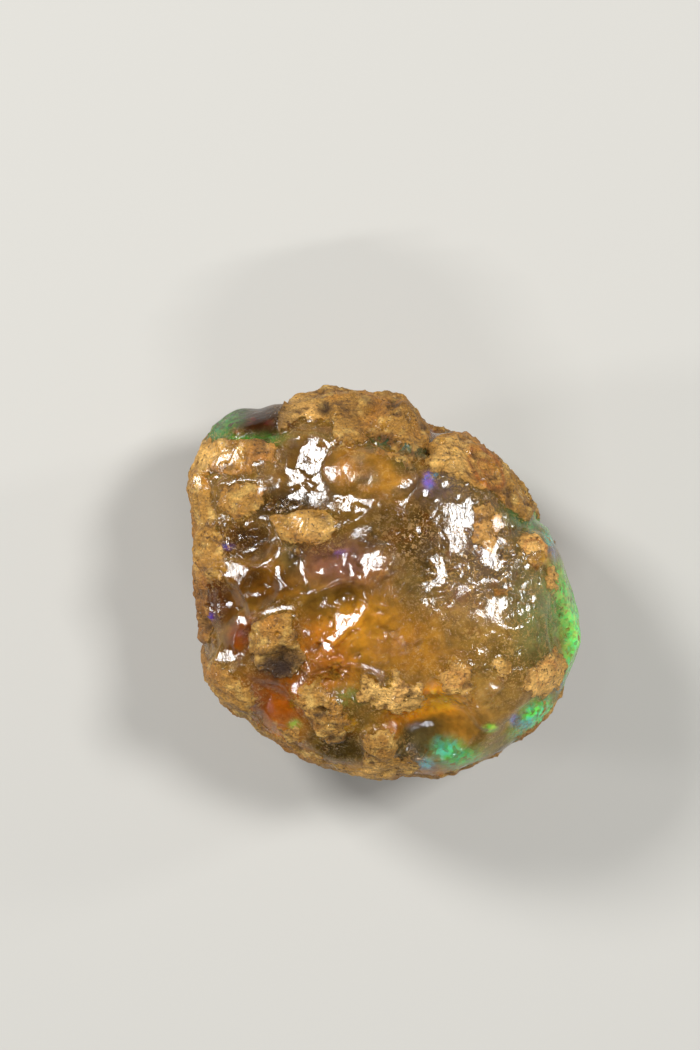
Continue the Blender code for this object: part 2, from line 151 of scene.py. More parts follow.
def distance_inside(x: np.ndarray, y: np.ndarray, corners: Corners) -> np.ndarray:
    """Distance from each point to a polygon's edge, positive inside it.

    Args:
        x: first coordinate of each point.
        y: second coordinate of each point.
        corners: the polygon's corners in order.

    Returns:
        One signed distance for each point.
    """
    nearest = np.full(len(x), np.inf)
    inside = np.zeros(len(x), dtype=bool)
    for start, end in zip(corners, corners[1:] + corners[:1]):
        run = (end[0] - start[0], end[1] - start[1])
        away = (x - start[0], y - start[1])
        part = (away[0] * run[0] + away[1] * run[1]) / (run[0] ** 2 + run[1] ** 2)
        part = np.clip(part, 0.0, 1.0)
        nearest = np.minimum(nearest, np.hypot(away[0] - part * run[0], away[1] - part * run[1]))
        spans = (start[1] > y) != (end[1] > y)
        crossing = start[0] + (y - start[1]) * run[0] / (run[1] if run[1] else 1.0)
        inside ^= spans & (x < crossing)
    return np.where(inside, nearest, -nearest)


def each(kind: type, *rows: tuple[Any, ...]) -> tuple[Any, ...]:
    """One thing of a kind from each row of its values."""
    return tuple(kind(*row) for row in rows)


class Side(Enum):
    """Which half of the stone a feature is on."""

    FRONT = 1
    BACK = -1


FRONT, BACK = Side


@dataclass(frozen=True)
class Lamp:
    """A soft rectangular light: its place and sides in metres, and its power in watts."""

    name: str
    place: tuple[float, float, float]
    width: float
    height: float
    power: float


LEFT = Lamp("left_softbox", (-0.36, 0.30, 0.44), 0.145, 0.145, 2.75)
RIGHT = Lamp("right_softbox", (0.30, 0.14, 0.54), 0.125, 0.135, 2.25)
LOW_LEFT = Lamp("low_left_strip", (-0.55, -0.02, 0.20), 0.07, 0.13, 1.0)
LOW_RIGHT = Lamp("low_right_strip", (0.52, 0.18, 0.26), 0.06, 0.12, 0.55)
NEAR = Lamp("near_camera", (-0.12, 0.14, 0.60), 0.02, 0.02, 0.07)
BELOW = Lamp("below_camera", (0.02, -0.36, 0.42), 0.2, 0.012, 0.7)


@dataclass(frozen=True)
class Relief:
    """Layered noise: its coarsest grain, twice that layer's height, its seed and its layers."""

    grain: float
    height: float
    seed: int
    layers: int = 1

    def at(self, points: np.ndarray) -> np.ndarray:
        """The noise at each point: a layer has half the grain and height of the one before.

        Args:
            points: places, one row each.

        Returns:
            One height for each point, on either side of 0.
        """
        total = np.zeros(len(points))
        for layer in range(self.layers):
            total += value_noise(points, self.grain / 2 ** layer, self.seed + layer) / 2 ** (layer + 1)
        return self.height * total

    def sideways(self, points: np.ndarray) -> np.ndarray:
        """A shift of each point in plan, in two columns of noise, that makes edges uneven."""
        return np.column_stack((self.at(points), replace(self, seed=self.seed + 50).at(points)))


@dataclass(frozen=True)
class Facet:
    """A broad flat cut: the way it faces, and its distance from the middle."""

    facing: tuple[float, float, float]
    distance: float


@dataclass(frozen=True)
class Ledge:
    """A plate of host rock: how far it stands up, its corners from above, how far it frays."""

    rise: float
    corners: Corners
    fray: float = 0.4
    side: Side = FRONT


@dataclass(frozen=True)
class Pit:
    """A round hole: its place, reach and depth."""

    x: float
    y: float
    reach: float
    depth: float
    side: Side = FRONT


@dataclass(frozen=True)
class Ripple:
    """Curved waves of a shell-like fracture: centre, reach, focus of the arcs, spacing, height."""

    x: float
    y: float
    reach: float
    focus_x: float
    focus_y: float
    spacing: float
    height: float


@dataclass(frozen=True)
class Crack:
    """A groove along straight runs between points."""

    path: Corners
    width: float
    depth: float


@dataclass(frozen=True)
class Oval:
    """An oval from above: its middle, half sizes and turn."""

    x: float
    y: float
    half_length: float
    half_width: float
    turn: float

    def gap(self, points: np.ndarray, warp: np.ndarray) -> np.ndarray:
        """Distance of each point from the middle, 1 on the edge: the root of u^2 + v^2.

        Args:
            points: places, one row each.
            warp: sideways shift of each point, two columns, that makes the edge uneven.

        Returns:
            One distance for each point.
        """
        angle = math.radians(self.turn)
        away_x = points[:, 0] + warp[:, 0] - self.x
        away_y = points[:, 1] + warp[:, 1] - self.y
        along = (away_x * math.cos(angle) + away_y * math.sin(angle)) / self.half_length
        across = (away_y * math.cos(angle) - away_x * math.sin(angle)) / self.half_width
        return np.hypot(along, across)


@dataclass(frozen=True)
class Cap(Oval):
    """A hollow or swelling with an oval footprint."""

    depth: float
    side: Side = FRONT


@dataclass(frozen=True)
class Chip(Oval):
    """A small flat break that mirrors one lamp to the camera, in steps of one height."""

    lamp: Lamp
    step: float = 1.6


@dataclass(frozen=True)
class Spot(Oval):
    """A soft oval on one side of the stone, with the strength of what is painted there."""

    strength: float = 1.0
    side: Side = FRONT

    def weight(self, points: np.ndarray, warp: np.ndarray) -> np.ndarray:
        """Strength times exp(-gap^3) at each point, fading out on the other side.

        Args:
            points: places, one row each.
            warp: sideways shift of each point.

        Returns:
            One weight for each point.
        """
        height = points[:, 2] + SIDE_STRAY * warp[:, 0]
        on_side = smooth_step(*SIDE_FADE, height * self.side.value)
        return np.exp(-self.gap(points, warp) ** 3) * on_side * self.strength


@dataclass(frozen=True)
class Patch:
    """A spot and its colour."""

    colour: str
    spot: Spot


def coloured(*rows: tuple[Any, ...]) -> tuple[Patch, ...]:
    """One patch from each row: its colour, then its spot's values."""
    return tuple(Patch(row[0], Spot(*row[1:])) for row in rows)


@dataclass(frozen=True)
class Ground:
    """What each point of the surface is: crust, near crust, deep in crevices (where shade is painted), or
    polished wet.
    """

    crust: np.ndarray
    halo: np.ndarray
    crevice: np.ndarray
    polish: np.ndarray


@dataclass
class StoneShape:
    """Form of the nodule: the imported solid's sizes, and the finer relief that it leaves out."""

    front_dome: float = 13.2
    back_dome: float = 18.4
    # Powers below 1, which make the domes fuller than an ellipsoid.
    front_fullness: float = 0.74
    back_fullness: float = 0.70
    dome_fullness: float = 0.84
    thickness: float = 30.0
    width: float = 46.1
    # A blend is the width of a soft corner, and a flatness an ellipsoid's upright half size in
    # times of the depth that shows.
    facet_blend: float = 0.9
    scoop_flatness: float = 6.0
    scoop_blend: float = 0.55
    lump_flatness: float = 2.4
    lump_blend: float = 1.0
    ledge_edge: float = 0.7
    # How far from the crust the glass still counts as near it.
    halo_width: float = 2.4
    # Between these two heights the edges of the crust begin to stray sideways.
    brow_height: float = 6.0
    steep_height: float = -4.0
    outline_sectors: int = 90
    fray_least: float = 0.25
    # How much further down the front's crust runs in places, and the values of the noise between
    # which it does.
    crust_run: float = 5.0
    run_grade: tuple[float, float] = (-0.1, 0.5)
    # Where the crust fades in: heights above the middle on the front, and below it on the back.
    crust_heights: dict[Side, tuple[float, float]] = field(
        default_factory=lambda: {FRONT: (-3.5, -1.5), BACK: (3.0, 6.0)})
    swell: Relief = Relief(9.0, 1.1, 3)
    knobble: Relief = Relief(3.2, 0.44, 5)
    ledge_wobble: Relief = Relief(1.7, 0.9, 11)
    ledge_fray: Relief = Relief(1.3, 0.8, 41, 4)
    stray_x: Relief = Relief(4.0, 4.0, 13)
    stray_y: Relief = Relief(4.0, 4.0, 17)
    run_down: Relief = Relief(6.0, 2.0, 19)
    # The outline's knots: an angle and a reach each.
    outline: Corners = (
        (0, 21.8), (11, 20.5), (22, 19.8), (35, 19.7), (49, 19.6), (64, 19.8), (71, 19.2), (76, 19.5),
        (79, 20.8), (84, 22.2), (95, 22.4), (106, 24), (118, 24), (126, 25.4), (132, 27), (137, 27.3),
        (143, 26.8), (152, 25.9), (162, 23.9), (171, 22.6), (180, 22.1), (191, 22.2), (200, 23),
        (208, 23.7), (217, 23.8), (226, 23.2), (238, 23.1), (256, 22.9), (265, 23.3), (277, 23),
        (284, 23.8), (298, 24), (315, 24.6), (322, 24.6), (332, 24.2), (344, 23.9), (352, 23))
    facets: tuple[Facet, ...] = each(
        Facet, ((-0.5, 0.62, 0.6), 21), ((-0.82, -0.05, 0.57), 20), ((-0.5, -0.6, 0.62), 20.4),
        ((0.02, 0.8, 0.6), 18.4), ((0.58, 0.6, 0.55), 18.6), ((0.8, 0.05, 0.6), 20),
        ((0.45, -0.7, 0.55), 22.4), ((0.1, 0.02, 0.99), 12.9), ((-0.3, 0.2, 0.93), 14.4),
        ((-0.15, -0.45, 0.88), 15.9), ((-0.8, 0.4, -0.45), 22.2), ((0.75, 0.45, -0.5), 19.8),
        ((0.2, -0.85, -0.48), 20.9), ((-0.6, -0.45, -0.66), 20.2), ((0.3, 0.72, -0.62), 19.6),
        ((0.62, -0.38, -0.68), 20.4), ((-0.28, 0.55, -0.78), 19.2))
    scoops: tuple[Cap, ...] = each(
        Cap, (4.3, -16.7, 6.2, 4.9, 20, 2.6), (-8.6, 2, 4.9, 2.5, -4, 1.3), (-3, 3.4, 3.5, 3.2, 30, 1),
        (-18.9, -2.6, 2.8, 2.8, 0, 0.8), (-16, -6.9, 2.2, 2.7, -35, 1.5), (-4.6, -1.4, 3.4, 1.8, 8, 1.1),
        (-14.8, -0.6, 3.2, 2.2, 0, 1), (-9.3, 12.8, 3.6, 4.2, -15, 0.7), (-3.9, 9.6, 2.3, 2, 30, 0.5),
        (-6.9, -3.6, 2.9, 4.6, -40, 1.4), (-8.2, -7, 2.1, 2.4, -40, 1), (-15.4, 4.4, 3.2, 2.1, 10, 1),
        (8.6, 7, 3, 3.6, -20, 0.5), (13.6, -2.2, 3, 2.2, 0, 0.4), (-6.2, -11.8, 3, 2.2, 35, 0.9),
        (20.6, -4.2, 2.6, 5.4, 0, 0.8), (16.2, -15.4, 4.6, 2.4, 40, 0.8), (-12.4, -14.6, 3.4, 2.6, -35, 1),
        (7.5, 11.4, 2.6, 2.4, 0, 0.8), (-11.5, 9.2, 3.4, 1.4, 0, 0.6), (9, 9.5, 7, 5.2, 30, 2.2, BACK),
        (-12.5, -6, 6.2, 4.6, -25, 2, BACK), (13.5, -9, 4.6, 5.6, 10, 1.7, BACK),
        (-8, 14, 5.4, 4, 15, 1.6, BACK), (0.5, -17, 5.6, 3.8, 0, 1.6, BACK),
        (18.5, 5, 3.2, 4.2, 0, 1.2, BACK))
    lumps: tuple[Cap, ...] = each(
        Cap, (1.7, 19.2, 2.9, 2.8, 0, 2.1), (-6.2, 20.8, 4.6, 2.6, 10, 1.2),
        (-0.6, 12.9, 3.6, 2.7, -12, 0.5), (-4.6, 13.6, 2.5, 2.4, 0, 0.2), (12.2, 12.9, 3.6, 2.4, -48, 0.9),
        (-21, 6, 1.6, 4.6, 0, 0.8), (-6.6, -14.8, 2.6, 2.9, -30, 1), (-0.4, -19, 2.3, 2.2, 0, 0.9),
        (17.5, 3.4, 2.4, 2.6, -30, 0.7), (-17.6, -12.3, 3.4, 2.8, -50, 0.9), (5.5, -3.6, 5, 3.6, 0, 0.6),
        (13.6, -13.2, 3.6, 2.8, 30, 0.5), (-16.4, 18.2, 4.6, 3, 22, 0.7),
        (-15, 6.5, 4.4, 3.6, 0, 1.4, BACK), (4, -8.5, 4.8, 3.6, 30, 1.1, BACK),
        (-3, 19, 4.6, 2.8, 0, 1.3, BACK), (-8, -16, 4, 3, 20, 1.2, BACK))
    ledges: tuple[Ledge, ...] = each(
        Ledge,
        (0.9, ((-12.3, 20.2), (-10.6, 22.8), (-3.7, 24.5), (2.2, 24), (5.6, 21), (5.3, 16.6), (3.5, 14.8),
        (1.3, 16.6), (-1.8, 17.1), (-4.5, 18.7), (-9.8, 19.2), (-12.5, 17.8))),
        (1, ((-6.3, 18.5), (-3.8, 18.9), (-1.9, 16.8), (-3.9, 15.7), (-5.9, 16.9))),
        (0.8, ((5, 16.6), (8.2, 17.6), (12, 16.4), (15, 13.6), (18.4, 9.6), (17.4, 7.4), (14.9, 8.7),
        (12.5, 10), (9.4, 11.2), (5.4, 12.6))),
        (0.6, ((-22.6, 16.2), (-20.1, 15.6), (-17, 15.9), (-12.7, 16.2), (-12.6, 14), (-13.7, 12.5),
        (-16.8, 12.2), (-20.2, 12.7), (-20.9, 10.8), (-20.1, 8.2), (-19.6, 4.3), (-18.9, 1.4),
        (-20.8, -0.9), (-20.9, -6.8), (-24, -9), (-24, 2.6), (-25, 11))),
        (0.3, ((-18.9, 10.8), (-15.6, 11.5), (-14.2, 10.6), (-13.5, 8.7), (-15.6, 7.7), (-17.5, 7),
        (-19.5, 8.8)), 0.8),
        (1, ((-13.2, 7.4), (-12.2, 7.7), (-10.9, 7.5), (-9.5, 8.1), (-7, 8.3), (-5.4, 6.8), (-5.9, 4.9),
        (-7.4, 4.1), (-11.9, 4.8), (-12.6, 6.4)), 0.15),
        (0.8, ((-15.6, -5), (-13.4, -3.8), (-10.8, -3.4), (-10.4, -5.4), (-10, -7.6), (-12.6, -8.4),
        (-15.2, -8)), 0.15),
        (0.6, ((-22.6, -8.6), (-20.2, -9.2), (-17.2, -10.8), (-15.2, -13.6), (-16, -16.1), (-18.7, -17),
        (-22.6, -13.4)), 0.5),
        (0.5, ((-10.4, -12.2), (-7.7, -11.7), (-5.3, -13.6), (-3.6, -16.4), (-4.7, -18.5), (-6.7, -18.7),
        (-9.3, -15.8)), 0.7),
        (0.22, ((-2.8, -10.7), (-1.1, -12), (0.2, -12.2), (1, -10.4), (2.3, -11.5), (4.4, -11.3),
        (4.4, -13.2), (1.7, -15), (-1.2, -14.6), (-2.8, -13.7)), 1),
        (0.25, ((-2.6, -18.7), (-0.9, -17.1), (0.9, -17.3), (1.5, -18.6), (1.2, -20.2), (-0.4, -21.1),
        (-2.2, -20.1)), 0.9),
        (0.12, ((5.7, -11), (7.6, -9), (9.4, -9.2), (9.7, -11), (9.3, -13), (6.2, -12.4)), 1),
        (0.16, ((15.6, -10.2), (18.1, -8.8), (19.3, -7.8), (20.6, -9.5), (20.6, -11.4), (18.9, -14.1),
        (16.9, -12.9), (15.8, -11.9)), 1.2),
        (0.22, ((14.9, 5), (16.6, 5.9), (18.9, 4.5), (18.7, 2.8), (17.5, 1.3), (15.9, 3.3)), 0.9),
        (0.16, ((10.3, 8.5), (11.9, 9), (13, 7.5), (13.3, 4.9), (12, 3.9), (10.3, 4.6)), 0.9),
        (0.9, ((-24, 16), (-12, 25), (8, 24), (9.5, 18.5), (3, 14.5), (-3.5, 17), (-11, 14), (-17, 15),
        (-19, 8), (-24, 4)), 0.4, BACK),
        (1, ((-24, -4), (-17, -2.5), (-9.5, -10.5), (-7.5, -17.5), (-12, -24), (-24, -18)), 0.4, BACK),
        (0.8, ((11.5, 3), (17, 9.5), (14.5, 17), (24, 10), (24, -6), (17.5, -3.5)), 0.4, BACK),
        (0.9, ((6.5, -12.5), (12, -14.5), (18, -12), (20, -20), (8, -25), (3, -20.5)), 0.4, BACK))
    pits: tuple[Pit, ...] = each(
        Pit, (0.9, 20.6, 0.75, 0.9), (2.9, 19, 0.55, 0.5), (-6.8, 20, 0.8, 1), (-11.4, -9, 1.7, 0.8),
        (-13.2, -9.2, 1.2, 0.5), (-4.4, -1.7, 1.3, 0.8), (-7.3, -15, 0.6, 0.9), (0.9, 15.8, 0.9, 0.6),
        (5, 15.4, 0.7, 0.7), (-14.6, 5.6, 1, 0.7), (-20.5, -5.4, 0.7, 0.6), (-9, 18, 1.4, 1.2, BACK),
        (12, -17.5, 1.5, 1.2, BACK), (-16.5, -10.5, 1.3, 1.1, BACK), (20, 1, 1.2, 1, BACK))

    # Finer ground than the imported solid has.
    crust_only: tuple[Ledge, ...] = each(
        Ledge,
        (0.1, ((11.7, -9.1), (12.7, -8.5), (13.5, -8.9), (13.8, -10.1), (12.8, -10.8)), 1),
        (0.12, ((18.7, 1.7), (19.6, 1.9), (20.2, 0.4), (19.9, -1.2), (19, -0.5)), 0.9),
        (0.08, ((12.6, -0.7), (14.3, -0.7), (14.3, -1.6), (12.6, -1.6)), 0.9),
        (0.12, ((-12.6, -17.2), (-10.2, -17.4), (-9.8, -20.6), (-11.6, -19.6)), 1),
        (0.2, ((-15, -7.2), (-10.2, -6.8), (-9.2, -8.8), (-10.2, -10.7), (-12.6, -11.2),
        (-14.8, -10.2)), 0.6),
        (0.15, ((-17, -15.4), (-14.8, -16.6), (-12.6, -18.6), (-9, -20.3), (-5.5, -21.5), (-2.5, -22),
        (-2, -26), (-18, -22)), 0.9),
        (0.15, ((2, -22.4), (6.5, -22.6), (10.5, -21.3), (13.2, -20), (15, -22), (10, -26), (2, -26)), 0.8),
        (0.12, ((15.2, -18.6), (17.4, -17), (19.4, -14.6), (20.8, -12.4), (24, -13), (19, -21)), 0.7),
        (0.12, ((-2, -20.6), (4, -21.2), (3, -23.4), (-3, -23.4)), 1.2),
        (0.1, ((-1.6, 17.2), (1.2, 17), (3.6, 15.8), (5.4, 15.6), (5.2, 14), (2, 14.4), (-0.8, 15.4)), 1.6))
    openings: tuple[Spot, ...] = each(
        Spot, (17.6, 3, 0.9, 0.8, 0), (-4.1, -16.7, 0.8, 0.5, 0), (-13.9, 13, 1, 0.7, 0),
        (0.2, 16, 1.1, 0.6, -10), (2.3, 15.5, 0.9, 0.5, 10), (4.2, 15, 0.9, 0.6, 0))
    ripples: tuple[Ripple, ...] = each(
        Ripple, (-9.3, 12.8, 3.8, -4.5, 17.5, 0.95, 0.07), (-3.9, 9.6, 2.2, -7.5, 6.5, 0.8, 0.06),
        (-1.6, 2, 3.4, 4, -4, 0.9, 0.09), (7.6, 6.5, 3.6, 14, 2, 1.1, 0.06),
        (5.8, 0.8, 3.2, 12, 4, 1, 0.06), (12.5, 4.6, 3.2, 6, 9, 1, 0.05),
        (-4.8, -5.4, 3.8, -11, -1, 1.1, 0.07), (-6, -11.4, 3, 0, -14, 0.9, 0.06),
        (13.5, -2.8, 3.4, 20, 2, 1.2, 0.05), (5.2, -17.6, 4, 9, -10, 1.5, 0.04),
        (18.4, -3.4, 4.6, 25, -1, 1.4, 0.1), (-8.6, 2, 4, -2, 6, 1.3, 0.05), (-15, 0, 3.2, -20, 4, 1, 0.05))
    cracks: tuple[Crack, ...] = each(
        Crack, (((-12.4, 7.2), (-11.4, 6.2), (-10.2, 4.8)), 0.14, 0.35),
        (((-7.6, -14.6), (-7, -15.3), (-6.6, -16.2)), 0.22, 0.6),
        (((11.9, 14.9), (13, 13.6), (14.3, 12)), 0.12, 0.3),
        (((-20.9, 12.4), (-20, 8.4), (-19.7, 4), (-19.3, 1.4)), 0.25, 0.35),
        (((-17, 15.8), (-16.2, 14), (-16.6, 12.4)), 0.16, 0.3),
        (((-3.4, 19.6), (-1.5, 18.2), (0.2, 17.6)), 0.22, 0.45))
    chips: tuple[Chip, ...] = each(
        Chip, (-8.8, 13.6, 3.8, 3.5, 20, LEFT, 0.6), (-10.4, 10, 0.8, 1.3, -20, LEFT),
        (-4, 9.6, 1.5, 2.3, -30, LEFT, 0.6), (-18.2, 14.4, 2.6, 1.7, 30, LEFT, 0.8),
        (-21.2, 11.9, 1, 1.5, -35, LOW_LEFT), (-14.2, 10.4, 0.8, 0.7, 0, LEFT),
        (-15.7, 7, 0.5, 0.9, 10, LEFT), (-17.7, 1.6, 2.3, 1.9, -30, LOW_LEFT, 0.6),
        (-19.3, 0.4, 0.6, 0.8, 0, LOW_LEFT), (-9.5, 1.7, 0.45, 2, 12, LEFT),
        (-12.2, 1.3, 0.6, 0.9, 25, LEFT), (-18.4, -8.6, 1.9, 0.95, -14, LOW_LEFT),
        (-12.2, -3.2, 1.7, 0.6, 20, LEFT), (-1.9, 2.4, 3.1, 1.7, 38, LEFT, 0.6),
        (0.4, 0.3, 1, 1.5, 20, LEFT, 0.8), (-4.7, -5, 4.5, 1.6, 50, LEFT, 0.6),
        (-5.9, -10.4, 1.9, 1.4, 30, BELOW, 0.5), (-10, -11.6, 0.8, 2, -28, BELOW, 0.6),
        (8.4, 7, 2.1, 2.6, 0, RIGHT, 0.6), (7.9, 4.2, 1, 1.4, 25, RIGHT),
        (6.1, 0.9, 1.5, 2.8, 8, RIGHT, 0.6), (13, 6.8, 0.8, 1.1, 0, RIGHT),
        (12.2, 3.3, 1.7, 2.1, 10, RIGHT, 0.6), (12.3, -2.6, 1.9, 1.2, 12, RIGHT),
        (15.4, -0.9, 0.8, 1.7, -25, LOW_RIGHT, 0.6), (16.4, 10, 0.9, 0.6, -30, RIGHT),
        (5.4, -11.6, 0.4, 0.7, 0, RIGHT), (12.2, -11.9, 0.55, 0.55, 0, RIGHT),
        (-0.5, -5.7, 0.5, 0.5, 0, LEFT), (-16.4, -4.4, 0.5, 1.2, 20, LOW_LEFT),
        (8.2, 9.8, 0.4, 0.5, 0, RIGHT))
    calm: tuple[Spot, ...] = each(
        Spot, (-19, -2.4, 3, 3.2, 0), (-14.6, -0.4, 4, 2.6, 0), (-7.6, 2.2, 4.6, 2.6, -4),
        (-2, 12.6, 4.6, 3.2, -10), (-16, 4.8, 2.8, 2, 0), (4.6, -17.8, 5, 3.6, 22))
    crust_grain: Relief = Relief(1.3, 0.4, 7)
    fine_crust: Relief = Relief(0.7, 0.34, 21, 2)
    creases: Relief = Relief(1.5, 2.0, 25, 3)
    crease_height: float = 0.34
    crevice_depth: float = 0.26
    glass_ground: Relief = Relief(1.6, 0.035, 31, 2)
    glass_chatter: Relief = Relief(1.1, 0.04, 37)
    crack_wander: Relief = Relief(1.1, 0.18, 61)
    wave_bend: Relief = Relief(1.9, 1.8, 71)
    wave_patches: Relief = Relief(1.6, 2.0, 73)
    wave_grade: tuple[float, float] = (-0.3, 0.35)
    wave_share: float = 0.6
    # The folded layers fade in along x, and in and out again along y, between these places.
    fold_left: tuple[float, float] = (-18.5, -20.5)
    fold_low: tuple[float, float] = (-9.0, -6.0)
    fold_high: tuple[float, float] = (14.0, 11.0)
    fold_least: float = 0.4
    fold_bend: Relief = Relief(3.4, 1.6, 75, 3)
    fold_spacing: float = 1.7
    fold_height: float = 0.2
    chip_edge: Relief = Relief(1.2, 1.2, 91, 3)
    chip_stray: Relief = Relief(1.6, 0.5, 92, 2)
    # A small chip's edge strays less: by this share of its smaller half size, times the noise.
    chip_edge_share: float = 0.8
    chip_spread: float = 1.22
    chip_reach: float = 1.4
    # How far a chip smooths the crust's grain, the glass's ground and the waves.
    chip_smooths: tuple[float, float, float] = (0.95, 0.6, 0.8)
    glints: int = 150
    glint_sizes: tuple[float, float] = (0.3, 0.65)
    glint_widths: tuple[float, float] = (0.5, 1.0)
    glint_step: float = 0.6
    glint_reach: float = 18.5
    glint_seed: int = 97
    # Small chips left of this place face the left lamp, and the others the right one.
    lamps_meet: float = 2.0
    grid_steps: int = 124
    # How strongly the grids' points gather on the front.
    front_focus: float = 0.28

    def directions(self) -> tuple[np.ndarray, np.ndarray]:
        """Unit directions on six square grids, closer together on the front, and their quads.

        Each grid's u and v run from -1 to 1, bent by tan(pi/4 u) so that the steps are even,
        and the six cube faces share the points on their common edges.

        Returns:
            Directions, one row each, and the four corner numbers of each quad.
        """
        side = self.grid_steps + 1
        line = np.tan(np.linspace(-1.0, 1.0, side) * math.pi / 4.0)
        u, v = np.meshgrid(line, line, indexing="ij")
        faces = []
        for axis in range(3):
            for sign in (1.0, -1.0):
                cube = np.empty((side, side, 3))
                cube[..., axis] = sign
                cube[..., (axis + 1) % 3] = u * sign
                cube[..., (axis + 2) % 3] = v
                faces.append(cube.reshape(-1, 3))
        stacked = np.vstack(faces)
        _, first, shared = np.unique(
            np.round(stacked * 1e6).astype(np.int64), axis=0, return_index=True, return_inverse=True)
        corner = np.arange(side ** 2).reshape(side, side)
        square = np.stack((corner[:-1, :-1], corner[1:, :-1], corner[1:, 1:], corner[:-1, 1:]), axis=-1)
        quads = np.vstack([square.reshape(-1, 4) + face * side ** 2 for face in range(6)])
        rays = stacked[first]
        rays /= np.linalg.norm(rays, axis=1)[:, None]
        rays[:, 2] += self.front_focus
        rays /= np.linalg.norm(rays, axis=1)[:, None]
        return rays, shared.reshape(-1)[quads]

    def outline_reach(self, angle: np.ndarray) -> np.ndarray:
        """Reach of the outline: straight runs between its knots, corners eased.

        Args:
            angle: directions in plan, in radians.

        Returns:
            One reach for each angle.
        """
        knots = np.array(self.outline, dtype=float)
        fine = np.linspace(0.0, 2.0 * math.pi, 720, endpoint=False)
        straight = np.interp(fine, np.radians(knots[:, 0]), knots[:, 1], period=2.0 * math.pi)
        rounded = (np.roll(straight, 3) + 2.0 * straight + np.roll(straight, -3)) / 4.0
        return np.interp(angle, fine, rounded, period=2.0 * math.pi)

    def domed(self, rays: np.ndarray) -> np.ndarray:
        """Directions moved out to the outline and the two domes.

        In plan a point reaches the outline times the power of its level share, and it rises by
        the dome times the power of its upright share.

        Args:
            rays: unit directions, one row each.

        Returns:
            A point for each direction.
        """
        angle = np.arctan2(rays[:, 1], rays[:, 0])
        across = np.hypot(rays[:, 0], rays[:, 1])
        front = rays[:, 2] > 0.0
        reach = self.outline_reach(angle) * across ** np.where(
            front, self.front_fullness, self.back_fullness)
        height = np.sign(rays[:, 2]) * np.where(front, self.front_dome, self.back_dome)
        height = height * np.abs(rays[:, 2]) ** self.dome_fullness
        return np.column_stack((reach * np.cos(angle), reach * np.sin(angle), height))

    def carve_facets(self, points: np.ndarray) -> np.ndarray:
        """Cut each point back along its ray to the nearest facet's plane.

        Args:
            points: the stone's points.

        Returns:
            The moved points.
        """
        rays, length = rays_of(points)
        for facet in self.facets:
            slope = rays @ (np.array(facet.facing) / np.linalg.norm(facet.facing))
            reach = facet.distance / np.maximum(slope, LEAST_SLOPE)
            reach = np.where(slope > LEAST_SLOPE, reach, FAR)
            length = smaller(length, reach, self.facet_blend)
        return rays * length[:, None]

    def reach_of_cap(self, rays: np.ndarray, points: np.ndarray, cap: Cap, hollow: bool) -> np.ndarray:
        """Distance along each ray to a cap's ellipsoid, and 0 where the ray misses it.

        The ellipsoid sits on the surface at the cap's place. A hollow shows the ellipsoid's near
        side and a swelling its far side: the roots of |t ray - centre| = 1 in its half sizes.

        Args:
            rays: each point's direction.
            points: the stone's points.
            cap: the cap.
            hollow: whether it is cut in or stands out.

        Returns:
            One distance for each ray.
        """
        gap = np.hypot(points[:, 0] - cap.x, points[:, 1] - cap.y)
        place = points[int(np.argmin(np.where(points[:, 2] * cap.side.value < 0, np.inf, gap)))]
        dome = self.front_dome if cap.side is FRONT else self.back_dome
        half_width = self.width / 2.0
        normal = place / np.array([half_width ** 2, half_width ** 2, dome ** 2])
        normal /= np.linalg.norm(normal)
        angle = math.radians(cap.turn)
        along = np.array([math.cos(angle), math.sin(angle), 0.0])
        along -= normal * along.dot(normal)
        along /= np.linalg.norm(along)
        axes = np.array([along, np.cross(normal, along), normal])
        flatness = self.scoop_flatness if hollow else self.lump_flatness
        spread = math.sqrt(1.0 - ((flatness - 1.0) / flatness) ** 2)
        sizes = np.array([cap.half_length / spread, cap.half_width / spread, cap.depth * flatness])
        near = 1.0 if hollow else -1.0
        centre = axes @ (place + normal * (sizes[2] - cap.depth) * near) / sizes
        turned = rays @ axes.T / sizes
        square = np.einsum("ij,ij->i", turned, turned)
        middle = turned @ centre
        inside = middle ** 2 - square * (centre.dot(centre) - 1.0)
        return np.where(inside > 0.0, (middle - near * np.sqrt(np.maximum(inside, 0.0))) / square, 0.0)

    def carve_and_raise(self, points: np.ndarray) -> np.ndarray:
        """Cut the shell-shaped fractures, then raise the rounded swellings.

        Args:
            points: the stone's points.

        Returns:
            The moved points.
        """
        rays, length = rays_of(points)
        for cap in self.scoops:
            reach = self.reach_of_cap(rays, points, cap, True)
            length = smaller(length, np.where(reach > 1.0, reach, FAR), self.scoop_blend)
        points = rays * length[:, None]
        for cap in self.lumps:
            reach = self.reach_of_cap(rays, points, cap, False)
            length = -smaller(-length, -reach, self.lump_blend)
        return rays * length[:, None]

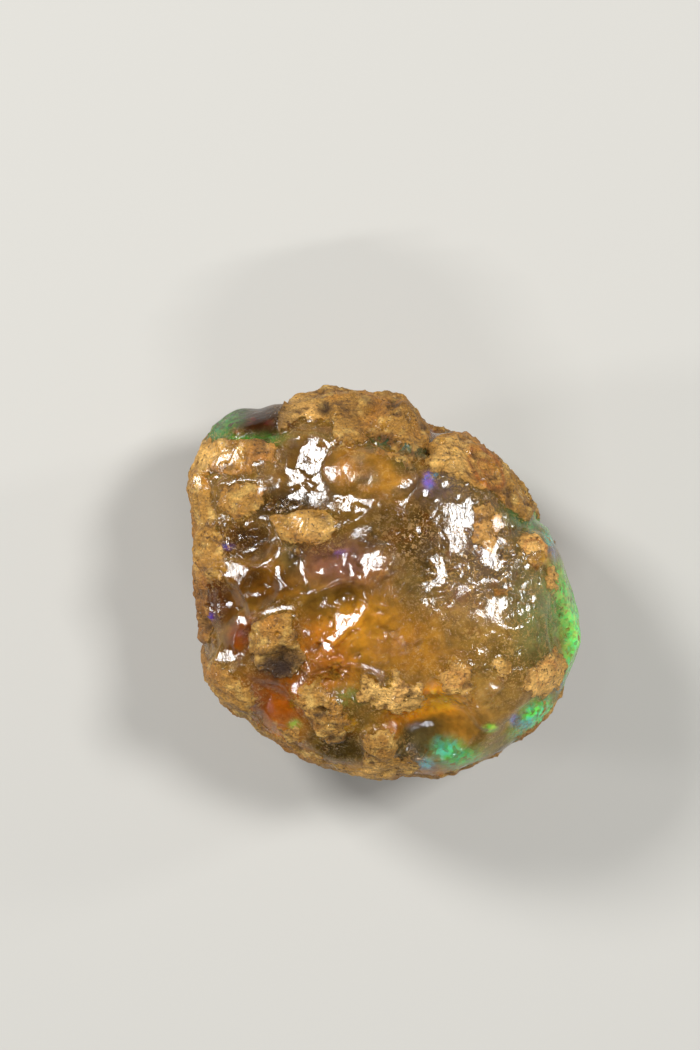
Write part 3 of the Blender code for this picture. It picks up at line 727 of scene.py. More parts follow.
    def crust_cover(self, points: np.ndarray) -> np.ndarray:
        """Where the host rock lies.

        Args:
            points: the stone's points.

        Returns:
            Four rows: the ledges' rise at each point, its cover by them, its cover with frayed
            edges, and how near crust it lies, the last three from 0 to 1.
        """
        grown = np.zeros((4, len(points)))
        edges = self.ledge_wobble.at(points) + self.ledge_fray.at(points)
        steep = smooth_step(self.brow_height, self.steep_height, points[:, 2])
        x = points[:, 0] + steep * self.stray_x.at(points)
        y = points[:, 1] + steep * self.stray_y.at(points)
        height = points[:, 2] + self.crust_run * smooth_step(*self.run_grade, self.run_down.at(points))
        for ledge in self.ledges + self.crust_only:
            inside = distance_inside(x, y, ledge.corners)
            inside += edges * min(1.0, self.fray_least + ledge.fray)
            step = smooth_step(-self.ledge_edge / 2.0, self.ledge_edge / 2.0, inside)
            soft = smooth_step(-ledge.fray, ledge.fray, inside)
            on_side = smooth_step(*self.crust_heights[ledge.side], height * ledge.side.value)
            halo = smooth_step(-self.halo_width, 0.0, inside) * (ledge.side is FRONT)
            grown = np.maximum(grown, (ledge.rise * step * on_side, step * on_side, soft * on_side, halo))
        # Small openings in the crust show the glass; the ledges' rise stays.
        for opening in self.openings:
            grown[1:3] *= 1.0 - opening.weight(points, np.zeros((len(points), 2)))
        return grown

    def hollows(self, points: np.ndarray) -> np.ndarray:
        """Depth of pits and cracks: bowls of exp(-gap^4), and grooves of exp(-gap^2) along paths.

        Args:
            points: the stone's points.

        Returns:
            One depth for each point.
        """
        depth = np.zeros(len(points))
        for pit in self.pits:
            gap = np.hypot(points[:, 0] - pit.x, points[:, 1] - pit.y) / pit.reach
            depth += pit.depth * np.exp(-gap ** 4) * (points[:, 2] * pit.side.value > 0.0)
        wander = self.crack_wander.at(points)
        for crack in self.cracks:
            # A run of two points has nothing inside it, so its distance is the one to its line.
            runs = zip(crack.path, crack.path[1:])
            near = np.min([-distance_inside(points[:, 0], points[:, 1], run) for run in runs], axis=0)
            groove = np.exp(-((near + wander) / crack.width) ** 2)
            depth += crack.depth * groove * (points[:, 2] > 0.0)
        return depth

    def fracture_waves(self, points: np.ndarray, cover: np.ndarray) -> np.ndarray:
        """Height of the shell-like waves and of the folded layers on the left side.

        A wave is a sine of the distance from its focus, and a fold a sine of the height; both
        are bent and broken up by noise.

        Args:
            points: the stone's points.
            cover: how far each point is crust, which has no waves.

        Returns:
            One height for each point.
        """
        height = np.zeros(len(points))
        patchy = smooth_step(*self.wave_grade, self.wave_patches.at(points))
        bend = self.wave_bend.at(points)
        for ripple in self.ripples:
            gap = np.hypot(points[:, 0] - ripple.x, points[:, 1] - ripple.y) / ripple.reach
            away = np.hypot(points[:, 0] - ripple.focus_x, points[:, 1] - ripple.focus_y) + bend
            wave = np.sin(2.0 * math.pi * away / ripple.spacing) * patchy
            height += self.wave_share * ripple.height * wave * np.exp(-gap ** 4) * (points[:, 2] > 0.0)
        folds = smooth_step(*self.fold_left, points[:, 0]) * (self.fold_least + patchy)
        folds *= smooth_step(*self.fold_low, points[:, 1]) * smooth_step(*self.fold_high, points[:, 1])
        layers = np.sin(2.0 * math.pi * (points[:, 2] + self.fold_bend.at(points)) / self.fold_spacing)
        return height * (1.0 - cover) + self.fold_height * folds * layers

    def small_chips(self) -> tuple[Chip, ...]:
        """Seeded small chips on the front, outside the calm places.

        Returns:
            Chips, each facing its side's lamp.
        """
        dice = np.random.default_rng(self.glint_seed)
        away = self.glint_reach * np.sqrt(dice.uniform(0.0, 1.0, self.glints))
        angle = dice.uniform(0.0, 2.0 * math.pi, self.glints)
        length = dice.uniform(*self.glint_sizes, self.glints)
        width = length * dice.uniform(*self.glint_widths, self.glints)
        turn = dice.uniform(-90.0, 90.0, self.glints)
        middles = np.column_stack((away * np.cos(angle), away * np.sin(angle)))
        still = np.zeros(middles.shape)
        outside = np.all([place.gap(middles, still) > 1.0 for place in self.calm], axis=0)
        places = np.column_stack((middles, length, width, turn))[outside]
        return tuple(Chip(*place, LEFT if place[0] < self.lamps_meet else RIGHT, self.glint_step)
                     for place in places)

    def face_chips(self, points: np.ndarray, height: np.ndarray) -> tuple[np.ndarray, np.ndarray]:
        """Turn the ground inside each chip to the plane that mirrors its lamp to the camera.

        The plane's normal is halfway between the directions to the lamp and to the camera.
        Where the ground leaves the plane by half a step, the next step's plane takes over, and
        a chip fades out where the ground lies far off its plane: exp(-(distance / reach)^4).
        Across its oval a chip turns the ground by exp(-gap^5) and polishes it by exp(-gap^3).

        Args:
            points: the stone's points.
            height: each point's height over the floor.

        Returns:
            The moved points, and how far each one lies in a chip.
        """
        rays, length = rays_of(points)
        warp = self.chip_edge.sideways(points)
        stray = self.chip_stray.at(points)
        polish = np.zeros(len(points))
        front = points[:, 2] > 0.0
        for chip in self.chips + self.small_chips():
            gap = np.hypot(points[:, 0] - chip.x, points[:, 1] - chip.y)
            middle = int(np.argmin(np.where(front, gap, np.inf)))
            here = np.array([chip.x, chip.y, height[middle]])
            to_lamp = np.array(chip.lamp.place) / MM - here
            to_eye = np.array(EYE) - here
            normal = to_lamp / np.linalg.norm(to_lamp) + to_eye / np.linalg.norm(to_eye)
            normal /= np.linalg.norm(normal)
            swing = points[middle] @ normal / np.maximum(rays @ normal, LEAST_SLOPE) - length
            least = min(1.0, self.chip_edge_share * min(chip.half_length, chip.half_width))
            away = chip.gap(points, least * warp) / self.chip_spread
            weight = np.exp(-away ** 5) * np.exp(-(swing / self.chip_reach) ** 4) * front
            length += weight * (swing - chip.step * np.round((swing + stray) / chip.step))
            polish = np.maximum(polish, np.exp(-away ** 3) * front)
        return rays * length[:, None], polish

    def add_ground(self, points: np.ndarray, cover: np.ndarray,
                   polish: np.ndarray) -> tuple[np.ndarray, np.ndarray]:
        """Add the fine ground: crust grain and creases, chatter and waves, pits and cracks.

        Args:
            points: the stone's points.
            cover: how far each point is crust.
            polish: how far each point lies in a chip.

        Returns:
            The moved points, and how deep each one lies in the crust's crevices, 0 to 1, which sets the
            painted shade there.
        """
        relief = self.crust_grain.at(points) + self.fine_crust.at(points)
        relief += self.crease_height * (0.5 - np.abs(self.creases.at(points)))
        streaked = points * np.array([1.0, 2.0, 1.0])
        glass = self.glass_ground.at(points) + self.glass_chatter.at(streaked)
        left = [1.0 - share * polish for share in self.chip_smooths]
        rise = cover * left[0] * relief + (1.0 - cover) * left[1] * glass
        rise += self.fracture_waves(points, cover) * left[2] - self.hollows(points)
        # How deep a point lies in the crust's crevices sets how much shade is painted there.
        return lifted(points, rise), smooth_step(0.0, -self.crevice_depth, relief)

    def fit_outline(self, points: np.ndarray) -> np.ndarray:
        """Bring the widest reach in each direction back to the outline.

        Args:
            points: the stone's points.

        Returns:
            The points, scaled in plan by a share that grows from the middle to the rim.
        """
        turn = 2.0 * math.pi
        angle = np.arctan2(points[:, 1], points[:, 0])
        across = np.hypot(points[:, 0], points[:, 1])
        sector = np.floor(angle / turn % 1.0 * self.outline_sectors).astype(int)
        widest = np.zeros(self.outline_sectors)
        np.maximum.at(widest, sector, across)
        middles = (np.arange(self.outline_sectors) + 0.5) * turn / self.outline_sectors
        change = np.interp(angle, middles, self.outline_reach(middles) / widest, period=turn) - 1.0
        scale = 1.0 + change * (across / self.outline_reach(angle)) ** 2
        return points * np.column_stack((scale, scale, np.ones(len(points))))

    def surface(self, rays: np.ndarray) -> tuple[np.ndarray, Ground]:
        """The whole stone's surface, and what each point of it is.

        Args:
            rays: unit directions, one row each.

        Returns:
            A point for each direction, and its ground.
        """
        points = self.carve_and_raise(self.carve_facets(self.domed(rays)))
        rise, cover, frayed, halo = self.crust_cover(points)
        rise += self.swell.at(points) + self.knobble.at(points)
        points = self.fit_outline(lifted(points, rise))
        height = points[:, 2] - points[:, 2].max() + self.thickness
        points, polish = self.face_chips(points, height)
        points, crevice = self.add_ground(points, cover, polish)
        points[:, 2] = np.maximum(points[:, 2], points[:, 2].max() - self.thickness)
        return points, Ground(frayed, halo, crevice, polish)


def fit_to_box(points: np.ndarray, low: Any, high: Any) -> np.ndarray:
    """Scale and move points so that they fill the box from low to high."""
    least, most = points.min(axis=0), points.max(axis=0)
    return np.array(low) + (points - least) / (most - least) * (np.array(high) - np.array(low))


@dataclass
class StonePaint:
    """Values painted on the stone's points: body tints, fire, rust, painted shade in hollows, and flecks.
    """

    ground: str = "#7C5A1C"
    first_fire: str = "#3FBF3A"
    # An edge is the noise that makes the outlines of what is painted uneven.
    tint_edge: Relief = Relief(3.4, 1.1, 81, 2)
    fire_edge: Relief = Relief(1.2, 0.45, 85, 2)
    # Below the rim the flashes sway, so that they don't end in upright lines on the sides.
    fire_sway: Relief = Relief(4.0, 6.0, 87, 2)
    sway_heights: tuple[float, float] = (1.0, -4.0)
    # Between these heights the surface turns from the front's look to the sides'.
    side_heights: tuple[float, float] = (4.0, -1.0)
    ring_edge: Relief = Relief(1.4, 0.5, 95, 2)
    ring_width: float = 0.2
    pale_edge: Relief = Relief(1.8, 0.54, 89, 2)
    rust_edge: Relief = Relief(0.9, 0.27, 89, 2)
    window_edge: Relief = Relief(2.4, 0.72, 89, 2)
    dark_edge: Relief = Relief(0.9, 0.99, 89, 2)
    fleck_edge: Relief = Relief(4.0, 1.2, 89, 2)
    flecks_by_crust: float = 0.9
    # Colour, place, half sizes, turn and strength of each patch.
    tints: tuple[Patch, ...] = coloured(
        ("#6E5824", 12, 1, 11, 12, 0, 0.9), ("#5A3F12", 3, 6, 6, 4.5, 0, 0.9),
        ("#A87C3C", 8, -4.6, 4.6, 3, 0, 0.9), ("#80784A", 16.5, -3, 4, 5.5, 0, 0.8),
        # D08A1C on the honey lump, #B87C18 in the lower middle and #CC7C1C left of it are partly the opal's
        # own honey colour and partly painted glow of light inside it.
        ("#9C6C20", -0.5, 12.6, 5, 3.4, -10), ("#D08A1C", -4.3, 13, 1.6, 2.2, 0, 0.8),
        ("#C88C28", -0.1, 11.9, 2.6, 1.6, 0, 0.9), ("#8A6228", -9, 13.5, 4.2, 4.6, 0, 0.8),
        ("#5C4012", -11.5, 8.9, 4.8, 2, 8), ("#482000", -16.2, 18.2, 5, 3.2, 20),
        ("#75603A", -2.2, 12, 1.3, 0.8, 30, 0.8), ("#57501F", 2, 13.3, 1.7, 0.9, -20, 0.8),
        ("#7E6438", 1.7, 10.6, 1.6, 0.8, 10, 0.8), ("#94764A", -3, 14.7, 1, 0.6, 0, 0.7),
        ("#A87048", -7.2, 2.4, 5, 2.2, -4), ("#7C6430", -11.2, 2.8, 2, 2, 0),
        ("#6A4418", -16, 4.8, 3.2, 2.2, 0), ("#946228", -2.5, 0.2, 3.4, 3, 0, 0.8),
        ("#5A4410", -4.5, -1.8, 3, 1.4, 8, 0.9), ("#B87C18", 2.4, -6.9, 8, 3.6, 0),
        ("#BC8020", -2.5, -4.4, 4, 3.4, 0, 0.9), ("#9C7830", 10.6, -5, 5, 3.4, 0, 0.8),
        ("#CC7C1C", -7.2, -8.6, 3.2, 4.6, 20), ("#B06812", -10, -11.6, 3.4, 2.4, -30, 0.9),
        ("#A65400", -16.3, -6.6, 1.6, 2.4, -30), ("#6E3806", -19.3, -2.2, 2.6, 2.8, 0),
        ("#8A560E", -14.4, -0.3, 4, 2.4, 0), ("#A05000", -12.8, -14.2, 4.4, 3.4, -35),
        ("#60420C", 1.2, -16.7, 1.6, 1.2, 0, 0.9), ("#B46C00", -14, -18, 7, 2.2, -38),
        # The bright oranges #FFA014, #FFA020 and #FFB428 on the big scoop's upper lip are its orange colour
        # with painted glow of light shining through the thin lip.
        ("#5C480C", -5.1, -19.2, 3, 1.8, -10), ("#FFA014", 3.2, -15, 4, 1.8, 38),
        ("#FFA020", 7.6, -13.9, 3.2, 2, -22), ("#584A26", 3.6, -18.2, 3.4, 1.9, 25),
        ("#96661C", 9, -17, 2, 3.4, 0, 0.9), ("#FFB428", 6.8, -13.7, 3, 1.5, 20),
        ("#7E6C08", 12.8, -18.6, 3.6, 1.4, 35), ("#A8803C", 13, -13.6, 4.4, 3.4, 0, 0.9),
        ("#B07C1C", 22, -9, 1.8, 5, 0, 0.8), ("#B07000", 9, -21.8, 8, 1.4, 8),
        ("#B88008", -4, -22.4, 7, 1.5, -12, 0.9), ("#D0983C", 17.6, 3, 1.2, 1.1, 0),
        ("#C08A1C", -4.1, -16.7, 1, 0.8, 0), ("#8C4408", 5.6, 18.4, 2, 1.8, 0),
        ("#6C5830", 7.1, 10.8, 3, 2.4, 0, 0.8), ("#8A5410", 10, 8, 8, 8, 0, 0.9, BACK),
        ("#B4640A", -12, -5, 8, 6, 0, 0.9, BACK), ("#A87414", 12, -9, 6, 6, 0, 0.9, BACK),
        ("#5A3A0A", -8, 13, 6, 5, 0, 0.9, BACK))
    fires: tuple[Patch, ...] = coloured(
        ("#347A04", -18.6, 18.3, 3.4, 1.6, 42, 0.9), ("#1C8048", -19.9, 17.3, 1.6, 0.9, 60, 0.8),
        ("#3E8A04", -15.4, 16.6, 4, 0.8, 0, 0.9), ("#C85808", -15.3, 18.9, 0.6, 0.35, 20, 0.5),
        ("#D06408", -13.4, 18.5, 0.5, 0.3, 0, 0.5), ("#C87008", -16.8, 17.4, 0.7, 0.4, 0, 0.6),
        ("#58C83C", 18.2, 7.4, 0.8, 2, 28, 0.9), ("#20B49C", 18.9, 5, 0.7, 1.3, 20, 0.9),
        ("#6470DC", 19.3, 3.6, 0.6, 1, 15, 0.7), ("#84D83C", 20.5, -0.7, 1.8, 3.2, 12, 0.95),
        ("#70F060", 21.6, -4.2, 1.9, 3.6, 8, 1), ("#5CFF58", 22, -6.6, 1.5, 2.8, -8, 1),
        ("#5E7C38", 18.6, -4.6, 3.6, 5, 0, 0.5), ("#3CD850", 21.3, -9.4, 1.3, 1.5, 0, 0.9),
        ("#3CD87C", 20.7, -12, 0.8, 1.5, -20, 0.8), ("#7A50D8", 20.2, -12.4, 0.5, 0.8, 0, 0.7),
        ("#2C7434", 15.2, 7.6, 2.2, 1.5, -40, 0.7), ("#2E9A40", 16.8, 6.6, 1.4, 1, -40, 0.7),
        ("#48F078", 17.2, -15.7, 3, 1.6, 42, 1), ("#5A58E0", 16.3, -16.6, 1, 0.7, 30, 0.8),
        ("#7050D8", 14.9, -16.1, 0.6, 0.9, 0, 0.8), ("#90E81C", 12, -16.7, 0.75, 0.5, 0, 0.95),
        ("#2CAC80", 7.2, -19.4, 2, 1.6, 0, 0.95), ("#48C050", 8.7, -20.4, 2.4, 1.4, 10, 1),
        ("#50B8C8", 4.8, -21.1, 1.2, 0.7, 0, 0.8), ("#665CE4", 4.9, 11.6, 0.7, 1.1, 0, 0.8),
        ("#28B0B0", 5.7, 12.3, 0.5, 0.5, 0, 0.8), ("#6A50C8", -5.1, 3.5, 0.9, 0.4, -10, 0.7),
        ("#6A3CD0", -20.3, -4.2, 0.6, 0.4, 0, 0.9), ("#4438A0", -18.2, 4.1, 0.9, 0.4, 0, 0.8),
        ("#4CC030", -22.3, 4.9, 0.5, 1.6, 0, 0.9), ("#1A5C38", -0.4, 16.2, 1.7, 1, 0, 0.9),
        ("#1C7058", 2.3, 15.5, 1.2, 0.6, 0, 0.8), ("#2F4A20", 3.9, 15.1, 1.2, 0.7, 0, 0.9),
        ("#5C7A2C", -4.4, -13, 2, 1.4, 0, 0.6), ("#6CB020", -10.4, -16.4, 0.9, 0.7, 0, 0.7),
        ("#74587C", 10.5, 2, 5, 7, 0, 0.18), ("#8A6486", -4, 2.4, 4.4, 2.6, 0, 0.2),
        ("#74608C", 6.2, 11, 3.4, 2.2, 0, 0.2), ("#2EC860", 11, 10, 5, 2.2, 30, 0.9, BACK),
        ("#48C83C", -14, -5, 3, 4.6, 0, 0.8, BACK), ("#2898B8", 13, -10, 3.2, 2.2, 0, 0.8, BACK),
        ("#E06A10", -8, 13, 2.6, 1.6, 0, 0.8, BACK))
    windows: tuple[Spot, ...] = each(
        Spot, (-7.2, 2.4, 5, 2.4, -4), (-19.3, -2.2, 2.8, 3, 0), (-14.4, -0.3, 4, 2.4, 0),
        (-11.5, 9.2, 4.8, 2.4, 8), (-16, 4.8, 3.2, 2.2, 0), (-16.3, -6.6, 2.2, 2.8, -30),
        (4.6, -17.8, 5.4, 4.2, 22, 0.3), (-5.1, -19.2, 3, 1.8, -10, 0.8), (-9, 13.5, 4, 4.4, 0, 0.7),
        (-7.4, -9, 3, 4, 20, 0.6), (0, 12, 3.4, 2.4, 0, 0.5), (2.4, -6.9, 7, 3.2, 0, 0.4),
        (9, 9.5, 7, 5.2, 30, 1, BACK), (-12.5, -6, 6.2, 4.6, -25, 1, BACK),
        (13.5, -9, 4.6, 5.6, 10, 1, BACK))
    rusts: tuple[Spot, ...] = each(
        Spot, (11.6, 13.1, 2.6, 1.5, -55, 0.5), (-14.3, 14.2, 2, 2.2, 0), (-19.9, 12.6, 0.5, 1.4, 0, 0.9),
        (17.1, 3.6, 2.4, 2.2, 0, 0.5), (11.7, 6.2, 2, 3, 0, 0.6), (1.7, -12.2, 0.7, 1.6, -20, 0.7),
        (7.8, -10.8, 1.2, 1.2, 0, 0.3), (18.3, -10.6, 1.2, 2.2, -30, 0.2), (13.4, -1.2, 1.2, 0.6, 0, 0.8),
        (-21.6, -3.6, 1.8, 5.4, 0), (8.6, 17.6, 4.4, 1.2, -22, 0.9), (-17.6, -17, 6, 0.8, -42),
        (-15, 14.2, 1.4, 1.6, 0, 0.8))
    pales: tuple[Spot, ...] = each(
        Spot, (18.2, -11.4, 2.4, 3.2, -30), (7.9, -11, 1.9, 2, 0, 0.4), (1.2, -12.9, 4.4, 2.2, 0),
        (17.2, 3.8, 2.2, 2, 0), (11.6, 6.4, 1.4, 2.4, 0, 0.7), (-20.8, 14.6, 2.4, 1.4, 0, 0.6),
        (8, 14.2, 2.6, 2.2, 0, 0.5), (-8, 6.4, 2.6, 1.6, 0, 0.5), (12.6, -9.8, 1.3, 1.2, 0, 0.6),
        (19.6, 0.4, 1.2, 1.8, 0, 0.6), (-0.6, -22, 4, 1, 0, 0.5), (-10, 19.6, 2.6, 1.8, 0, 0.7))
    rings: tuple[Spot, ...] = each(
        Spot, (11.6, 13.1, 2.5, 1.5, -55), (11.5, 13.2, 1.1, 0.6, -55, 0.8), (17.2, 3.4, 1.3, 1.7, 20, 0.9),
        (7.8, -10.9, 0.9, 0.9, 0, 0.7), (18.3, -10.4, 0.9, 1.5, -30, 0.7), (1.8, -12.4, 0.6, 1.2, -20, 0.7))
    # Spots of painted shade in pits and hollows, and of a darker real tone in a few other places.
    shade_and_dark_spots: tuple[Spot, ...] = each(
        Spot, (0.2, 16, 1.7, 0.7, 0, 0.3), (3.7, 15.2, 1.7, 0.8, 0, 0.3), (1.4, 19.8, 2, 1.5, 0, 0.2),
        (0.9, 20.6, 0.7, 0.7, 0, 0.8), (2.9, 19, 0.5, 0.5, 0, 0.6), (-6.8, 20, 0.9, 0.8, 0, 0.9),
        (-12, -9.4, 3.2, 1.9, 8, 0.95), (-7.3, -15, 0.45, 0.7, -20, 0.9), (-4.4, -1.7, 1.6, 0.9, 0, 0.5),
        (-5, -19, 2, 1.2, 0, 0.5), (-20.4, -5.6, 0.8, 0.7, 0, 0.6), (-13.8, 18.9, 3.2, 2.4, 20, 0.8),
        (-0.3, 16.2, 2.2, 1.1, 0, 0.3), (-19.4, -2.4, 2, 2.2, 0, 0.4), (-21.7, -4.2, 1.3, 4.6, 0, 0.35))
    fleck_zones: tuple[Spot, ...] = each(
        Spot, (11.5, 0, 9.5, 11, 0, 1), (3.5, 5.5, 5.5, 4, 0, 0.9), (8, -8.5, 9, 4, 0, 0.6),
        (15, -10, 4, 5, 0, 1), (-4, -13.6, 3, 3, 0, 0.6), (-17, 6.5, 5, 6, 0, 0.5),
        (19.6, -3.6, 4, 7, 0, 0.8), (-1.8, 12.6, 5, 3.4, -10, 0.7), (12.5, -18.4, 4.6, 2, 35, 0.9),
        (-12.8, -14.6, 3.6, 3, 0, 0.3))

    def tinted(self, points: np.ndarray) -> np.ndarray:
        """Body colour: the ground, with each tint laid over it in turn.

        Args:
            points: the stone's points.

        Returns:
            Linear colours, one row for each point.
        """
        warp = self.tint_edge.sideways(points)
        colour = np.tile(np.array(linear(self.ground)), (len(points), 1))
        for patch in self.tints:
            weight = patch.spot.weight(points, warp)[:, None]
            colour = colour * (1.0 - weight) + np.array(linear(patch.colour)) * weight
        return colour

    def flashing(self, points: np.ndarray) -> tuple[np.ndarray, np.ndarray]:
        """Fire colour and its strength, each flash laid over the last.

        Args:
            points: the stone's points.

        Returns:
            Linear colours, one row for each point, and a strength each.
        """
        warp = self.fire_edge.sideways(points)
        below_rim = smooth_step(*self.sway_heights, points[:, 2])[:, None]
        points = points.copy()
        points[:, :2] += below_rim * self.fire_sway.sideways(points)
        colour = np.tile(np.array(linear(self.first_fire)), (len(points), 1))
        strength = np.zeros(len(points))
        for patch in self.fires:
            weight = patch.spot.weight(points, warp)
            share = (weight / np.maximum(strength + weight, 1e-4))[:, None]
            colour = colour * (1.0 - share) + np.array(linear(patch.colour)) * share
            strength = np.maximum(strength, weight)
        return colour, strength

    def ringed(self, points: np.ndarray) -> np.ndarray:
        """Weight of the rusty rings: exp(-((gap - 1) / width)^2) about each oval's edge.

        Args:
            points: the stone's points.

        Returns:
            One weight for each point.
        """
        warp = self.ring_edge.sideways(points)
        off_edge = np.array([(ring.gap(points, warp) - 1.0) / self.ring_width for ring in self.rings])
        strengths = np.array([ring.strength for ring in self.rings])[:, None]
        return np.max(np.exp(-off_edge ** 2) * strengths, axis=0) * (points[:, 2] > 0.0)

    def strongest(self, points: np.ndarray, spots: tuple[Spot, ...], edge: Relief) -> np.ndarray:
        """Greatest weight of a set of spots at each point, their edges made uneven by a noise."""
        warp = edge.sideways(points)
        return np.max([spot.weight(points, warp) for spot in spots], axis=0)

    def values(self, points: np.ndarray, ground: Ground) -> dict[str, np.ndarray]:
        """Every painted value by name: four columns for a colour, and one for a share.

        Args:
            points: the stone's points.
            ground: what each point is.

        Returns:
            Whole arrays, one row for each point.
        """
        fire, fire_strength = self.flashing(points)
        flecks = self.strongest(points, self.fleck_zones, self.fleck_edge)
        return {
            "tint": self.tinted(points), "fire": fire, "fire_strength": fire_strength,
            "crust": ground.crust, "crevice": ground.crevice, "polish": ground.polish,
            "side": smooth_step(*self.side_heights, points[:, 2]),
            "rings": self.ringed(points),
            "pale": self.strongest(points, self.pales, self.pale_edge),
            "rust": self.strongest(points, self.rusts, self.rust_edge),
            "clear": self.strongest(points, self.windows, self.window_edge),
            "dark": self.strongest(points, self.shade_and_dark_spots, self.dark_edge),
            "flecks": np.maximum(flecks, self.flecks_by_crust * ground.halo),
        }


class Kind(Enum):
    """A kind of node: its type, its settings, the inputs given in order, and its output.

    Inputs and outputs that share their name with others are given by number.
    """

    PLACE = ("TexCoord", {}, (), "Object")
    SHARE = ("Attribute", {}, ("attribute_name",), "Fac")
    COLOUR = ("Attribute", {}, ("attribute_name",), "Color")
    TURNED = ("Mapping", {}, ("Vector", "Rotation", "Scale"), "Vector")
    NOISE = ("TexNoise", {}, ("Vector", "Scale", "Detail", "Distortion"), "Fac")
    CELLS = ("TexVoronoi", {}, ("Vector", "Scale"), "Color")
    GREEN = ("SeparateColor", {}, (0,), 1)
    GRADE = ("MapRange", {"interpolation_type": "SMOOTHSTEP"}, (0, 1, 2, 3, 4), 0)
    PLUS = ("Math", {"operation": "ADD"}, (0, 1), 0)
    LESS = ("Math", {"operation": "SUBTRACT"}, (0, 1), 0)
    TIMES = ("Math", {"operation": "MULTIPLY"}, (0, 1), 0)
    LARGER = ("Math", {"operation": "MAXIMUM"}, (0, 1), 0)
    SIZE = ("Math", {"operation": "ABSOLUTE"}, (0,), 0)
    OVER = ("Mix", {"data_type": "RGBA"}, (6, 7, 0), 2)
    SHADE = ("Mix", {"data_type": "RGBA", "blend_type": "MULTIPLY", 0: 1.0}, (6, 7), 2)
    HUE = ("HueSaturation", {}, ("Color", "Hue", "Saturation", "Value"), "Color")
    BUMP = ("Bump", {}, ("Height", "Strength", "Distance"), "Normal")
    SHADER = ("BsdfPrincipled", {}, (), "BSDF")
    DEPTH = ("VolumeAbsorption", {}, ("Color", "Density"), "Volume")
    RESULT = ("OutputMaterial", {}, ("Surface", "Volume"), None)


(PLACE, SHARE, COLOUR, TURNED, NOISE, CELLS, GREEN, GRADE, PLUS, LESS, TIMES,
 LARGER, SIZE, OVER, SHADE, HUE, BUMP, SHADER, DEPTH, RESULT) = Kind


def add_node(tree: bpy.types.NodeTree, kind: Kind, *values: Any, **named: Any) -> Any:
    """Add a node, set its properties and inputs, and link sockets into it.

    Args:
        tree: the node tree.
        kind: the kind of node.
        values: a socket, hex colour or plain value for each of the kind's inputs, in order.
        named: the same for other inputs, by name.

    Returns:
        The node's output socket, or None where it has none.
    """
    type_name, settings, order, output = kind.value
    node = tree.nodes.new("ShaderNode" + type_name)
    for name, value in (settings | dict(zip(order, values)) | named).items():
        if isinstance(value, bpy.types.NodeSocket):
            tree.links.new(value, node.inputs[name])
        elif isinstance(name, str) and name in node.bl_rna.properties:
            setattr(node, name, value)
        else:
            node.inputs[name].default_value = linear(value) if isinstance(value, str) else value
    return None if output is None else node.outputs[output]


@dataclass(frozen=True)
class Pattern:
    """A noise by name: real grain, detail, distortion, its grade, and how it is turned.

    The grade gives the noise values where it starts and ends, and the values there. A turn is
    a rotation in radians and a scale, which draws the grain out.
    """

    name: str
    grain: float
    detail: float
    distortion: float = 0.0
    grade: tuple[float, ...] = ()
    turn: tuple[tuple[float, ...], ...] = ()

    def add(self, tree: bpy.types.NodeTree, place: bpy.types.NodeSocket) -> bpy.types.NodeSocket:
        """Add the pattern's nodes.

        Args:
            tree: the node tree.
            place: the stone's own coordinates.

        Returns:
            The socket of its value.
        """
        if self.turn:
            place = add_node(tree, TURNED, place, *self.turn)
        value = add_node(tree, NOISE, place, per_metre(self.grain), self.detail, self.distortion)
        return add_node(tree, GRADE, value, *self.grade) if self.grade else value


def per_metre(size: float) -> float:
    """Texture scale in Object coordinates for a pattern of this real size."""
    return 1.0 / (size * MM)


